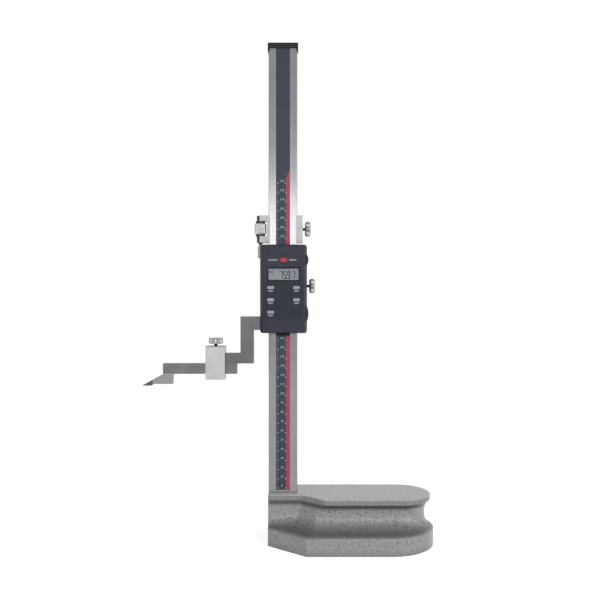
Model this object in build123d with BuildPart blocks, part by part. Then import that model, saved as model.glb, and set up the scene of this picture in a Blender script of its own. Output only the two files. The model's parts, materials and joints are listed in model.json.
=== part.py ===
from build123d import *
import math
import os

os.makedirs("parts", exist_ok=True)

# A digital height gauge on a cast base, in millimetres.
# Origin: the column's centre on the base's ground underside. +X runs along
# the base, -X towards the scriber, -Y is the reading side and +Z is up.

# ---------------------------------------------------------------- clearances
slip = 0.05  # each side of a sliding or turning fit
seat = 0.02  # each side of a fixed fit
glide = 0.1  # slider and carriage round the column

# -------------------------------------------------------------- base casting
base_height = 53.5
base_left_overhang = 0.3  # past the column's edge
base_reach = 162.5  # column centre to the round end
flange_thickness = 18.6
flange_half_width = 50.0
flange_neck_half = 17.0
flange_shoulder_x = 24.5
lip_thickness = 6.0
lip_half_width = 33.5
lip_end_setback = 3.2
lip_neck_half = 12.5
lip_neck_end_x = 20.6
lip_shoulder_x = 44.5
waist_level = 33.3  # deepest line of the grip groove
waist_half_width = 27.0
waist_end_setback = 9.5
waist_neck_half = 10.5
waist_neck_end_x = 17.0
waist_shoulder_x = 36.0
groove_ledge = 1.2  # the groove starts this far inside flange and lip
groove_turn = 71.8  # degrees the groove's hollow turns through, waist to rim
plan_corner = 5.0
rim_rounding = 1.0
relief_depth = 1.5
ground_rim = 12.0  # width of the ground face left round the relief
relief_start_x = 28.0

# --------------------------------------------------------------------- column
column_width = 31.0
column_thickness = 9.0
column_length = 483.0
column_edge_break = 0.4
strip_width = 15.0
strip_thickness = 0.5
strip_groove_depth = 0.6
strip_foot_gap = 3.5
strip_head_gap = 1.0  # just under the cap's skirt
foot_screw_radius = 2.5
foot_screw_grip = 20.0  # base metal under the screw head's seat
foot_screw_reach = 15.0  # into the column
foot_screw_head_radius = 4.25
foot_screw_head_height = 5.0
foot_screw_x = 9.0
foot_counterbore_radius = 4.75
dowel_radius = 2.0
dowel_reach = 8.0  # into the base and into the column

cap_wall = 1.05
cap_roof = 4.5
cap_skirt = 4.2
cap_front_skirt = 1.5
cap_ear_width = 2.3
cap_screw_radius = 1.5
cap_screw_length = 9.8
cap_screw_head_radius = 2.8

# ------------------------------------------------------- heights at rest
scale_zero_gap = 5.4  # scale zero above the base's top
rest_reading = 169.7  # scriber height above the reference plane

# --------------------------------------------------------------- display head
head_width = 50.0
head_height = 94.8
head_x = 0.88
head_skirt = 1.75  # head's lower edge below the line that gives the reading
head_depth = 12.0
head_corner = 3.2
bevel_depth = 5.5
bevel_side = 2.8
bevel_end = 1.2
head_wall = 1.8
head_front_rounding = 0.7
chassis_thickness = 1.0
chassis_inset = 0.4

lcd_share = 0.6634  # centre's height, as a share of the head's
lcd_x = 1.1
lcd_width = 32.6
lcd_height = 12.4
bezel_border = 1.3
bezel_lip = 0.6
bezel_ledge = 0.5
window_thickness = 0.8
panel_border = 1.2
panel_thickness = 2.0

badge_share = 0.8238  # of the head's height
badge_x = 1.1
badge_width = 9.7
badge_height = 5.7
badge_corner = 2.6
badge_thickness = 0.7
badge_recess = 0.4

key_width = 7.0
key_height = 3.2
key_corner = 0.5
key_stand = 0.6  # above the housing's face
key_travel = 0.5
key_flange_border = 0.8
key_flange_thickness = 0.8
key_left_x = -12.7
key_right_x = 14.7
key_row_shares = (0.5142, 0.3771, 0.2389)  # of the head's height

battery_share = 0.221  # of the head's height
cell_radius = 5.8
cell_thickness = 5.4
cell_x = 17.6
tray_floor = 0.6
tray_height = 13.4
tray_lip_height = 15.8
tray_lip_stand = 1.6
tray_left_x = 14.0
tray_rear_gap = 1.7  # tray's rear to the chassis
contact_thickness = 0.3

port_share = 0.8265  # of the head's height
port_height = 10.9
port_depth = 5.0
port_stand = 1.6
port_plug_length = 3.5
port_rear_gap = 3.2
connector_length = 6.0

board_thickness = 1.6
board_rear_gap = 3.5  # board's rear to the chassis
board_margin = 0.9
boss_radius = 2.4
cover_screw_radius = 1.0
cover_screw_head_radius = 1.9
cover_screw_x = 12.0
cover_screw_inset = 5.4  # from the head's upper and lower edges
cover_screw_bite = 7.0
post_side_inset = 5.8  # board posts, from the head's edges
post_low_inset = 13.4
post_high_inset = 14.6
post_low_x = 4.0
post_high_x = 12.5
header_height = 4.0
notch_gap = 2.3  # board's notch round the cell
notch_roof_gap = 0.4
mat_thickness = 0.8
mat_margin = 2.5  # inside the board's sides
mat_foot = 2.6  # past the lowest and highest key rows
mat_head = 3.4

# --------------------------------------------------------------- slider frame
frame_half_width = 22.5
frame_inset = 1.3  # inside the head at top and bottom
frame_web = 2.9
gib_thickness = 1.8
gib_inset = 5.0
gib_screw_radius = 1.5
gib_screw_shares = (0.2185, 0.8163)  # of the head's height
rear_plate_thickness = 2.5
rear_screw_radius = 1.25
rear_screw_head_radius = 2.35
rear_screw_depth = 5.0
rear_screw_inset = 6.0
sensor_half_width = 8.0
sensor_low_margin = 20.7  # frame's lower end to the sensor board
sensor_high_margin = 8.7
sensor_gap = 0.5  # to the scale strip
wiper_reach = 4.05  # below the frame
wiper_bed = 2.4  # into the frame

arm_foot_rise = 1.75  # upper arm's underside above the frame's lower end
arm_drop_height = 14.7  # upper arm, top to bottom
arm_left_x = -46.0
arm_bar_width = 14.3
arm_foot_height = 11.3
arm_end_x = -82.0

lug_height = 12.45
lug_half_depth = 5.0
lug_left_x = -27.2
rod_x = -24.6
rod_radius = 4.1
rod_neck_radius = 1.5
rod_neck_gap = 2.75  # bare neck above the lug
rod_end_taper = 2.4  # the thread's lower end
rod_pin_radius = 0.75

# -------------------------------------------------------------------- scriber
scriber_height = 11.3
tip_drop = 12.6  # scriber's underside above the measuring edge
bar_right_x = -49.8
bar_left_x = -130.0
tip_block_right_x = -119.6
tip_left_x = -151.9
tip_block_lift = 1.8  # tip block above the measuring edge
tip_nose = 0.5  # height of the point
carbide_length = 10.9
carbide_heel = 1.2  # the carbide's ground heel

clamp_x = -73.05
clamp_width = 20.9
clamp_half_depth = 8.0
clamp_floor = 5.8
clamp_roof = 7.5

# ------------------------------------------------------------------ lock screws
lock_radius = 2.0
pad_radius = 1.8
pad_length = 1.8
lock_neck_radius = 1.5
slider_lock_share = 0.5343  # of the head's height
slider_lock_head_x = 28.3
lock_lobe_reach = 6.15
lock_lobe_radius = 3.5
lock_head_thickness = 6.3
lock_head_rounding = 2.7
clamp_neck_radius = 1.85
clamp_neck_length = 2.5
clamp_lobe_reach = 5.4
clamp_lobe_radius = 2.35
clamp_head_rounding = 1.2

# -------------------------------------------------------- fine-adjust carriage
carriage_gap = 2.8  # above the head at rest
carriage_height = 29.4
carriage_right_wall = 5.8
carriage_left_web = 2.0
carriage_rear_wall = 3.0
carriage_lip = 1.3
carriage_lip_thickness = 1.6
carriage_arm_x = -25.2
carriage_arm_half_depth = 6.0
carriage_lower_arm = 7.0
carriage_upper_arm = 6.1
carriage_lock_head_gap = 2.3
rod_notch_clearance = 0.3
nut_radius = 6.2
nut_collar_radius = 5.0
nut_collar_length = 1.85
nut_grooves = 36
nut_groove_depth = 0.3
nut_rim_chamfer = 1.1

# ------------------------------------------------------------ derived places
column_half = column_width / 2
column_front = -column_thickness / 2
column_back = column_thickness / 2
column_top = base_height + column_length
base_left = -column_half - base_left_overhang
strip_bottom = base_height + strip_foot_gap
strip_top = column_top - strip_head_gap
strip_front = column_front + strip_groove_depth - strip_thickness

head_bottom = base_height + scale_zero_gap + rest_reading - head_skirt
head_top = head_bottom + head_height
head_z = head_bottom + head_height / 2
frame_bottom = head_bottom + frame_inset
frame_top = head_top - frame_inset
frame_height = frame_top - frame_bottom
channel_half = column_half + glide
web_rear = column_front - glide
web_front = web_rear - frame_web
frame_rear = column_back + glide
gib_left = column_half + glide
gib_right = gib_left + gib_thickness
wall_left = gib_right + glide
chassis_front = web_front - chassis_thickness
head_rear = chassis_front
head_front = head_rear - head_depth
head_inner_front = head_front + head_wall
bevel_y = head_front + bevel_depth
head_left = head_x - head_width / 2
head_right = head_x + head_width / 2
bevel_slope = bevel_side / bevel_depth

board_rear = chassis_front - board_rear_gap
board_front = board_rear - board_thickness
mat_front = board_front - mat_thickness
lcd_z = head_bottom + lcd_share * head_height
badge_z = head_bottom + badge_share * head_height
battery_z = head_bottom + battery_share * head_height
port_z = head_bottom + port_share * head_height
sensor_length = frame_height - sensor_low_margin - sensor_high_margin
sensor_z = frame_bottom + sensor_low_margin + sensor_length / 2
slider_lock_z = head_bottom + slider_lock_share * head_height
key_rows = [head_bottom + share * head_height for share in key_row_shares]

tray_rear = chassis_front - tray_rear_gap
tray_front = tray_rear - cell_thickness - 2 * tray_floor
cell_front = tray_front + tray_floor + slip
port_rear = chassis_front - port_rear_gap
port_front = port_rear - port_depth
wall_inner_right = head_right - head_wall

scriber_bottom = rest_reading + tip_drop
scriber_top = scriber_bottom + scriber_height
arm_bottom = scriber_top + slip
arm_foot_top = arm_bottom + arm_foot_height
arm_under = frame_bottom + arm_foot_rise
arm_top = arm_under + arm_drop_height
arm_right_x = arm_left_x + arm_bar_width
clamp_bottom = scriber_bottom - slip - clamp_floor
clamp_window_top = arm_foot_top + slip
clamp_top = clamp_window_top + clamp_roof

carriage_bottom = head_top + carriage_gap
carriage_top = carriage_bottom + carriage_height
carriage_right = channel_half + carriage_right_wall
carriage_left = -channel_half - carriage_left_web
carriage_rear = frame_rear + carriage_rear_wall
carriage_front = web_rear - carriage_lip_thickness
carriage_lock_z = carriage_bottom + carriage_height / 2
nut_bottom = carriage_bottom + carriage_lower_arm + glide
nut_top = carriage_top - carriage_upper_arm - glide

cut_over = 1.0  # how far a cut runs past the face it opens


def level(height):
    return Plane.XY.offset(height)


def facing(depth):  # local x is +X, local y is +Z, normal -Y
    return Plane.XZ.offset(-depth)


def across(reach):  # local x is +Y, local y is +Z, normal +X
    return Plane.YZ.offset(reach)


# ------------------------------------------------------------------ base casting
def base_plan(neck_half, flare, shoulder_x, half_width, reach):
    # The front side widens from the flat left face to the shoulder, the round end
    # closes the plan, and the rear side is straight.
    points = [(base_left, -neck_half), *flare, (shoulder_x, -half_width), (reach - half_width, -half_width)]
    with BuildSketch(Plane.XY, mode=Mode.PRIVATE) as plan:
        with BuildLine():
            FilletPolyline(*points, radius=plan_corner)
            ThreePointArc((reach - half_width, -half_width), (reach, 0), (reach - half_width, half_width))
            Polyline((reach - half_width, half_width), (base_left, half_width), (base_left, -neck_half))
        make_face()
    return plan.sketch


def between(low, high, share):
    return low + (high - low) * share


def groove_share(closeness):
    # 0 at the waist and 1 at the rims, along a rounded hollow
    reach = math.sin(math.radians(groove_turn))

    def sagitta(value):
        return 1 - math.sqrt(1 - (reach * value) ** 2)

    return sagitta(closeness) / sagitta(1)


# The flange's flank is straight, so its flare point only dips in enough to have a corner.
flank_share = 0.44
flange_flare_x = between(base_left, flange_shoulder_x, flank_share)
flange_flare_half = between(flange_neck_half, flange_half_width, flank_share) - groove_ledge


def groove_section(rim, closeness, height):
    # rim and waist each hold: neck half, flare x, flare half, shoulder x, half width, reach
    waist = (
        waist_neck_half,
        waist_neck_end_x,
        waist_neck_half,
        waist_shoulder_x,
        waist_half_width,
        base_reach - waist_end_setback,
    )
    share = groove_share(closeness)
    neck, flare_x, flare_half, shoulder_x, half_width, reach = [
        between(low, high, share) for low, high in zip(waist, rim)
    ]
    plan = base_plan(neck, [(flare_x, -flare_half)], shoulder_x, half_width, reach)
    return plan.moved(Location((0, 0, height)))


flange_rim = (
    flange_neck_half - groove_ledge,
    flange_flare_x,
    flange_flare_half - groove_ledge,
    flange_shoulder_x,
    flange_half_width - groove_ledge,
    base_reach - groove_ledge,
)
lip_reach = base_reach - lip_end_setback
lip_rim = (
    lip_neck_half - groove_ledge,
    lip_neck_end_x,
    lip_neck_half - groove_ledge,
    lip_shoulder_x,
    lip_half_width - groove_ledge,
    lip_reach - groove_ledge,
)
lip_bottom = base_height - lip_thickness
groove_sections = [
    groove_section(flange_rim, closeness, between(waist_level, flange_thickness, closeness))
    for closeness in (1, 0.8, 0.5)
]
groove_sections += [
    groove_section(lip_rim, closeness, between(waist_level, lip_bottom, closeness))
    for closeness in (0, 0.5, 0.8, 1)
]

with BuildPart() as base_casting:
    add(extrude(base_plan(flange_neck_half, [], flange_shoulder_x, flange_half_width, base_reach), flange_thickness))
    rims = base_casting.edges().filter_by(Plane.XY).filter_by(lambda edge: edge.center().X > base_left + slip)
    fillet(rims, rim_rounding)
    lip_plan = base_plan(lip_neck_half, [(lip_neck_end_x, -lip_neck_half)], lip_shoulder_x, lip_half_width, lip_reach)
    with BuildPart(mode=Mode.PRIVATE) as lip:
        add(extrude(lip_plan.moved(Location((0, 0, lip_bottom))), lip_thickness))
        lip_rims = lip.edges().filter_by(Plane.XY).filter_by(lambda edge: edge.center().X > base_left + slip)
        fillet(lip_rims, rim_rounding)
    add(lip.part)
    loft(groove_sections)
    # the underside is relieved inside a ground rim
    with BuildSketch(level(0)):
        relief_half = flange_half_width - ground_rim
        relief_end_x = base_reach - flange_half_width
        with BuildLine():
            Polyline(
                (relief_end_x, -relief_half),
                (relief_start_x + relief_half / 2, -relief_half),
                (relief_start_x, -relief_half / 2),
                (relief_start_x, relief_half / 2),
                (relief_start_x + relief_half / 2, relief_half),
                (relief_end_x, relief_half),
            )
            ThreePointArc(
                (relief_end_x, relief_half), (base_reach - ground_rim, 0), (relief_end_x, -relief_half)
            )
        make_face()
    extrude(amount=relief_depth, mode=Mode.SUBTRACT)
    # screws come up into the column's foot, with a dowel between them
    with BuildSketch(level(0)):
        with Locations((-foot_screw_x, 0), (foot_screw_x, 0)):
            Circle(foot_counterbore_radius)
    extrude(amount=base_height - foot_screw_grip, mode=Mode.SUBTRACT)
    with BuildSketch(level(0)):
        with Locations((-foot_screw_x, 0), (foot_screw_x, 0)):
            Circle(foot_screw_radius + seat)
    extrude(amount=base_height, mode=Mode.SUBTRACT)
    with BuildSketch(level(base_height)):
        Circle(dowel_radius + seat)
    extrude(amount=-dowel_reach - seat, mode=Mode.SUBTRACT)

base_casting.part.label = "base_casting"
export_step(base_casting.part, "parts/base_casting.step")

# ----------------------------------------------------------------------- column
with BuildPart() as column:
    with BuildSketch(level(base_height)):
        Rectangle(column_width, column_thickness)
    extrude(amount=column_length)
    chamfer(column.edges().filter_by(Axis.Z), column_edge_break)
    # the scale strip lies in a shallow groove that runs out at the top
    groove_length = column_top - strip_bottom + seat
    with BuildSketch(facing(column_front)):
        with Locations((0, column_top - groove_length / 2)):
            Rectangle(strip_width + 2 * seat, groove_length)
    extrude(amount=-strip_groove_depth, mode=Mode.SUBTRACT)
    with BuildSketch(level(base_height)):
        with Locations((-foot_screw_x, 0), (foot_screw_x, 0)):
            Circle(foot_screw_radius + seat)
    extrude(amount=foot_screw_reach + cut_over, mode=Mode.SUBTRACT)
    with BuildSketch(level(base_height)):
        Circle(dowel_radius + seat)
    extrude(amount=dowel_reach + seat, mode=Mode.SUBTRACT)
    with BuildSketch(level(column_top)):
        Circle(cap_screw_radius + seat)
    extrude(amount=-cap_screw_length, mode=Mode.SUBTRACT)

column.part.label = "column"
export_step(column.part, "parts/column.step")

with BuildPart() as scale_strip:
    with BuildSketch(facing(column_front + strip_groove_depth)):
        with Locations((0, (strip_bottom + strip_top) / 2)):
            Rectangle(strip_width, strip_top - strip_bottom)
    extrude(amount=strip_thickness)

scale_strip.part.label = "scale_strip"
export_step(scale_strip.part, "parts/scale_strip.step")

with BuildPart() as column_cap:
    cap_half_width = column_half + cap_wall
    cap_half_depth = column_back + cap_wall
    cap_bottom = column_top - cap_skirt
    cap_height = cap_skirt + cap_roof
    with BuildSketch(level(cap_bottom)):
        Rectangle(2 * cap_half_width, 2 * cap_half_depth)
    extrude(amount=cap_height)
    fillet(column_cap.edges().filter_by(Axis.Z), cap_wall)
    fillet(column_cap.faces().sort_by(Axis.Z)[-1].edges(), cap_wall)
    with BuildSketch(level(cap_bottom)):
        Rectangle(column_width + 2 * seat, column_thickness + 2 * seat)
    extrude(amount=cap_skirt, mode=Mode.SUBTRACT)
    # the skirt is cut short between its two end ears
    with BuildSketch(facing(-cap_half_depth - cut_over)):
        with Locations((0, cap_bottom + (cap_skirt - cap_front_skirt) / 2)):
            Rectangle(2 * (cap_half_width - cap_ear_width), cap_skirt - cap_front_skirt)
    extrude(amount=-2 * (cap_half_depth + cut_over), mode=Mode.SUBTRACT)
    with BuildSketch(level(column_top)):
        Circle(cap_screw_radius + seat)
    extrude(amount=cap_roof, mode=Mode.SUBTRACT)
    with BuildSketch(level(column_top + cap_roof)):
        Circle(cap_screw_head_radius + seat)
    with BuildSketch(level(column_top + cap_roof - cap_screw_head_radius + cap_screw_radius)):
        Circle(cap_screw_radius + seat)
    loft(mode=Mode.SUBTRACT)

column_cap.part.label = "column_cap"
export_step(column_cap.part, "parts/column_cap.step")


# -------------------------------------------------------------------- fasteners
def socket_screw(place, radius, length, head_radius, head_height):
    # place lies under the head and its normal points out of the head
    with BuildPart() as screw:
        with BuildSketch(place):
            Circle(head_radius)
        extrude(amount=head_height)
        chamfer(screw.faces().sort_by(Axis(place.origin, place.z_dir))[-1].edges(), head_height / 12)
        with BuildSketch(place.offset(head_height)):
            RegularPolygon(radius * 0.8, 6, major_radius=False)
        extrude(amount=-head_height / 2, mode=Mode.SUBTRACT)
        with BuildSketch(place):
            Circle(radius)
        extrude(amount=-length)
    return screw.part


def countersunk_screw(place, radius, length, head_radius):
    # place is the flush face and its normal points out of the head
    head_height = head_radius - radius
    with BuildPart() as screw:
        with BuildSketch(place):
            Circle(head_radius)
        with BuildSketch(place.offset(-head_height)):
            Circle(radius)
        loft()
        with BuildSketch(place.offset(-head_height)):
            Circle(radius)
        extrude(amount=head_height - length)
        with BuildSketch(place):
            Rectangle(head_radius * 1.3, head_radius * 0.24)
            Rectangle(head_radius * 0.24, head_radius * 1.3)
        extrude(amount=-head_height * 0.7, mode=Mode.SUBTRACT)
    return screw.part


def grub_screw(place, radius, length):
    # place is the outer end and its normal points outwards
    with BuildPart() as screw:
        with BuildSketch(place):
            Circle(radius)
        extrude(amount=-length)
        with BuildSketch(place):
            RegularPolygon(radius * 0.5, 6, major_radius=False)
        extrude(amount=-length / 3, mode=Mode.SUBTRACT)
    return screw.part


with BuildPart() as cap_screw:
    add(countersunk_screw(level(column_top + cap_roof), cap_screw_radius, cap_screw_length, cap_screw_head_radius))

cap_screw.part.label = "cap_screw"
export_step(cap_screw.part, "parts/cap_screw.step")

with BuildPart() as column_screws:
    for screw_x in (-foot_screw_x, foot_screw_x):
        screw_seat = Plane((screw_x, 0, base_height - foot_screw_grip), x_dir=(1, 0, 0), z_dir=(0, 0, -1))
        add(
            socket_screw(
                screw_seat,
                foot_screw_radius,
                foot_screw_grip + foot_screw_reach,
                foot_screw_head_radius,
                foot_screw_head_height,
            )
        )

column_screws.part.label = "column_screws"
export_step(column_screws.part, "parts/column_screws.step")

with BuildPart() as column_dowel:
    with BuildSketch(level(base_height - dowel_reach)):
        Circle(dowel_radius)
    extrude(amount=2 * dowel_reach)
    chamfer(column_dowel.faces().filter_by(Plane.XY).edges(), dowel_radius / 5)

column_dowel.part.label = "column_dowel"
export_step(column_dowel.part, "parts/column_dowel.step")

# ----------------------------------------------------------------- slider frame
cover_screw_places = [
    (side * cover_screw_x, height)
    for side in (-1, 1)
    for height in (head_bottom + cover_screw_inset, head_top - cover_screw_inset)
]
left_screw_x = -(frame_half_width + channel_half) / 2
right_screw_x = (frame_half_width + wall_left) / 2
rear_screw_places = [
    (screw_x, height)
    for screw_x in (left_screw_x, right_screw_x)
    for height in (frame_bottom + rear_screw_inset, frame_top - rear_screw_inset)
]
gib_screw_levels = [head_bottom + share * head_height for share in gib_screw_shares]
gib_screw_length = frame_half_width - gib_right
wiper_half_width = strip_width / 2
lock_bore_radius = lock_radius + slip


def countersink(places, depth, radius, head_radius, direction):
    # sunk seats on the plane y = depth; direction +1 opens towards +Y, -1 towards -Y
    sink = head_radius - radius
    with BuildPart(mode=Mode.PRIVATE) as seats:
        for place in places:
            with BuildSketch(facing(depth)):
                with Locations(place):
                    Circle(head_radius + seat)
            with BuildSketch(facing(depth - direction * sink)):
                with Locations(place):
                    Circle(radius + seat)
            loft()
    return seats.part


with BuildPart() as slider_frame:
    with BuildSketch(level(frame_bottom)):
        with Locations((0, (web_front + frame_rear) / 2)):
            Rectangle(2 * frame_half_width, frame_rear - web_front)
        with Locations(((wall_left - channel_half) / 2, (web_rear + frame_rear) / 2)):
            Rectangle(wall_left + channel_half, frame_rear - web_rear, mode=Mode.SUBTRACT)
    extrude(amount=frame_height)
    # the arm drops beside the column and carries the scriber at its foot
    arm_root_x = -(frame_half_width + channel_half) / 2
    with BuildSketch(facing(column_front)):
        with BuildLine():
            Polyline(
                (arm_root_x, arm_top),
                (arm_left_x, arm_top),
                (arm_left_x, arm_foot_top),
                (arm_end_x, arm_foot_top),
                (arm_end_x, arm_bottom),
                (arm_right_x, arm_bottom),
                (arm_right_x, arm_under),
                (arm_root_x, arm_under),
                close=True,
            )
        make_face()
    extrude(amount=-column_thickness)
    # lug for the fine-adjust rod
    with BuildSketch(level(frame_top - lug_height)):
        with Locations(((lug_left_x + arm_root_x) / 2, 0)):
            Rectangle(arm_root_x - lug_left_x, 2 * min(lug_half_depth, frame_rear))
    extrude(amount=lug_height)
    with BuildSketch(level(frame_top - lug_height)):
        with Locations((rod_x, 0)):
            Circle(rod_neck_radius + seat)
    extrude(amount=lug_height, mode=Mode.SUBTRACT)
    with BuildSketch(facing(web_front)):
        with Locations((rod_x, frame_top - lug_height / 2)):
            Circle(rod_pin_radius + seat)
    extrude(amount=web_front - frame_rear, mode=Mode.SUBTRACT)
    # window for the sensor board, and beds for the wipers at both ends
    with BuildSketch(facing(web_front)):
        with Locations((0, sensor_z)):
            Rectangle(2 * (sensor_half_width + glide), sensor_length + 2 * glide)
        with Locations((0, frame_bottom + wiper_bed / 2), (0, frame_top - wiper_bed / 2)):
            Rectangle(2 * (wiper_half_width + seat), wiper_bed + 2 * seat)
    extrude(amount=-frame_web, mode=Mode.SUBTRACT)
    # lock screw and gib screws cross the right wall
    with BuildSketch(across(wall_left)):
        with Locations((0, slider_lock_z)):
            Circle(lock_bore_radius)
        with Locations(*[(0, height) for height in gib_screw_levels]):
            Circle(gib_screw_radius + seat)
    extrude(amount=frame_half_width - wall_left, mode=Mode.SUBTRACT)
    # screws that hold the rear plate and the display cover
    with BuildSketch(facing(frame_rear)):
        with Locations(*rear_screw_places):
            Circle(rear_screw_radius + seat)
    extrude(amount=rear_screw_depth, mode=Mode.SUBTRACT)
    with BuildSketch(facing(web_front)):
        with Locations(*cover_screw_places):
            Circle(cover_screw_radius + seat)
    extrude(amount=-frame_web, mode=Mode.SUBTRACT)
    add(
        countersink(cover_screw_places, web_rear, cover_screw_radius, cover_screw_head_radius, 1),
        mode=Mode.SUBTRACT,
    )

slider_frame.part.label = "slider_frame"
export_step(slider_frame.part, "parts/slider_frame.step")

with BuildPart() as rear_plate:
    plate_rear = frame_rear + rear_plate_thickness
    with BuildSketch(facing(plate_rear)):
        with Locations((0, (frame_bottom + frame_top) / 2)):
            Rectangle(2 * frame_half_width, frame_height)
    extrude(amount=rear_plate_thickness)
    chamfer(rear_plate.faces().sort_by(Axis.Y)[-1].edges(), rear_plate_thickness / 5)
    with BuildSketch(facing(plate_rear)):
        with Locations(*rear_screw_places):
            Circle(rear_screw_radius + seat)
    extrude(amount=rear_plate_thickness, mode=Mode.SUBTRACT)
    add(
        countersink(rear_screw_places, plate_rear, rear_screw_radius, rear_screw_head_radius, 1),
        mode=Mode.SUBTRACT,
    )

rear_plate.part.label = "rear_plate"
export_step(rear_plate.part, "parts/rear_plate.step")

with BuildPart() as rear_plate_screws:
    for screw_x, screw_z in rear_screw_places:
        screw_face = Plane((screw_x, plate_rear, screw_z), x_dir=(-1, 0, 0), z_dir=(0, 1, 0))
        screw_length = rear_plate_thickness + rear_screw_depth - glide
        add(countersunk_screw(screw_face, rear_screw_radius, screw_length, rear_screw_head_radius))

rear_plate_screws.part.label = "rear_plate_screws"
export_step(rear_plate_screws.part, "parts/rear_plate_screws.step")

with BuildPart() as gib_strip:
    gib_length = frame_height - 2 * gib_inset
    with BuildSketch(across(gib_left)):
        with Locations((0, (frame_bottom + frame_top) / 2)):
            Rectangle(column_thickness - 2 * glide, gib_length)
        with Locations((0, slider_lock_z)):
            Circle(pad_radius + slip, mode=Mode.SUBTRACT)
    extrude(amount=gib_thickness)

gib_strip.part.label = "gib_strip"
export_step(gib_strip.part, "parts/gib_strip.step")

with BuildPart() as gib_screws:
    for height in gib_screw_levels:
        screw_face = across(gib_right + gib_screw_length).shift_origin((gib_right + gib_screw_length, 0, height))
        add(grub_screw(screw_face, gib_screw_radius, gib_screw_length))

gib_screws.part.label = "gib_screws"
export_step(gib_screws.part, "parts/gib_screws.step")

with BuildPart() as strip_wipers:
    wiper_z = frame_bottom + (wiper_bed - wiper_reach) / 2
    wiper_front = web_front + 2 * glide
    wiper_depth = web_rear - wiper_front
    with BuildSketch(facing(web_rear)):
        with Locations((0, wiper_z)):
            Rectangle(2 * wiper_half_width, wiper_reach + wiper_bed)
        with Locations((0, frame_top - (wiper_bed - frame_inset) / 2)):
            Rectangle(2 * wiper_half_width, wiper_bed + frame_inset)
    extrude(amount=wiper_depth)

strip_wipers.part.label = "strip_wipers"
export_step(strip_wipers.part, "parts/strip_wipers.step")

# ------------------------------------------------------------- fine-adjust rod
rod_shoulder = frame_top + rod_neck_gap
with BuildPart() as fine_adjust_rod:
    with BuildSketch(level(rod_shoulder)):
        with Locations((rod_x, 0)):
            Circle(rod_radius)
    extrude(amount=carriage_top - glide - rod_shoulder)
    rod_ends = fine_adjust_rod.faces().filter_by(Plane.XY).sort_by(Axis.Z)
    chamfer(rod_ends[0].edges(), rod_end_taper)
    chamfer(fine_adjust_rod.faces().sort_by(Axis.Z)[-1].edges(), rod_radius / 8)
    with BuildSketch(level(frame_top - lug_height)):
        with Locations((rod_x, 0)):
            Circle(rod_neck_radius)
    extrude(amount=lug_height + rod_neck_gap)
    with BuildSketch(facing(web_front)):
        with Locations((rod_x, frame_top - lug_height / 2)):
            Circle(rod_pin_radius + seat)
    extrude(amount=web_front - frame_rear, mode=Mode.SUBTRACT)

fine_adjust_rod.part.label = "fine_adjust_rod"
export_step(fine_adjust_rod.part, "parts/fine_adjust_rod.step")

with BuildPart() as rod_pin:
    pin_reach = min(lug_half_depth, frame_rear)
    with BuildSketch(facing(pin_reach)):
        with Locations((rod_x, frame_top - lug_height / 2)):
            Circle(rod_pin_radius)
    extrude(amount=2 * pin_reach)

rod_pin.part.label = "rod_pin"
export_step(rod_pin.part, "parts/rod_pin.step")


# ----------------------------------------------------------------- display head
def head_outline(inset, end_inset):
    with BuildSketch(Plane.XY, mode=Mode.PRIVATE) as outline:
        with Locations((head_x, head_z)):
            RectangleRounded(
                head_width - 2 * inset,
                head_height - 2 * end_inset,
                max(head_corner - min(inset, end_inset), head_corner / 4),
            )
    return outline.sketch


with BuildPart() as display_chassis:
    with BuildSketch(facing(web_front)):
        add(head_outline(chassis_inset, chassis_inset))
        with Locations(*cover_screw_places):
            Circle(cover_screw_radius + seat, mode=Mode.SUBTRACT)
        with Locations((0, sensor_z)):
            Rectangle(sensor_half_width + 2 * glide, header_height, mode=Mode.SUBTRACT)
    extrude(amount=chassis_thickness)

display_chassis.part.label = "display_chassis"
export_step(display_chassis.part, "parts/display_chassis.step")

board_post_places = [
    (head_left + post_side_inset, head_bottom + post_low_inset),
    (post_low_x, head_bottom + post_low_inset),
    (head_left + post_side_inset, head_top - post_high_inset),
    (post_high_x, head_top - post_high_inset),
]
key_places = [(key_left_x, height) for height in key_rows]
key_places += [(key_right_x, height) for height in key_rows[:2]]
key_names = ("key_upper_left", "key_middle_left", "key_lower_left", "key_upper_right", "key_middle_right")
bezel_width = lcd_width + 2 * bezel_border
bezel_height = lcd_height + 2 * bezel_border
tray_lip_depth = tray_rear - tray_front

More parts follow.
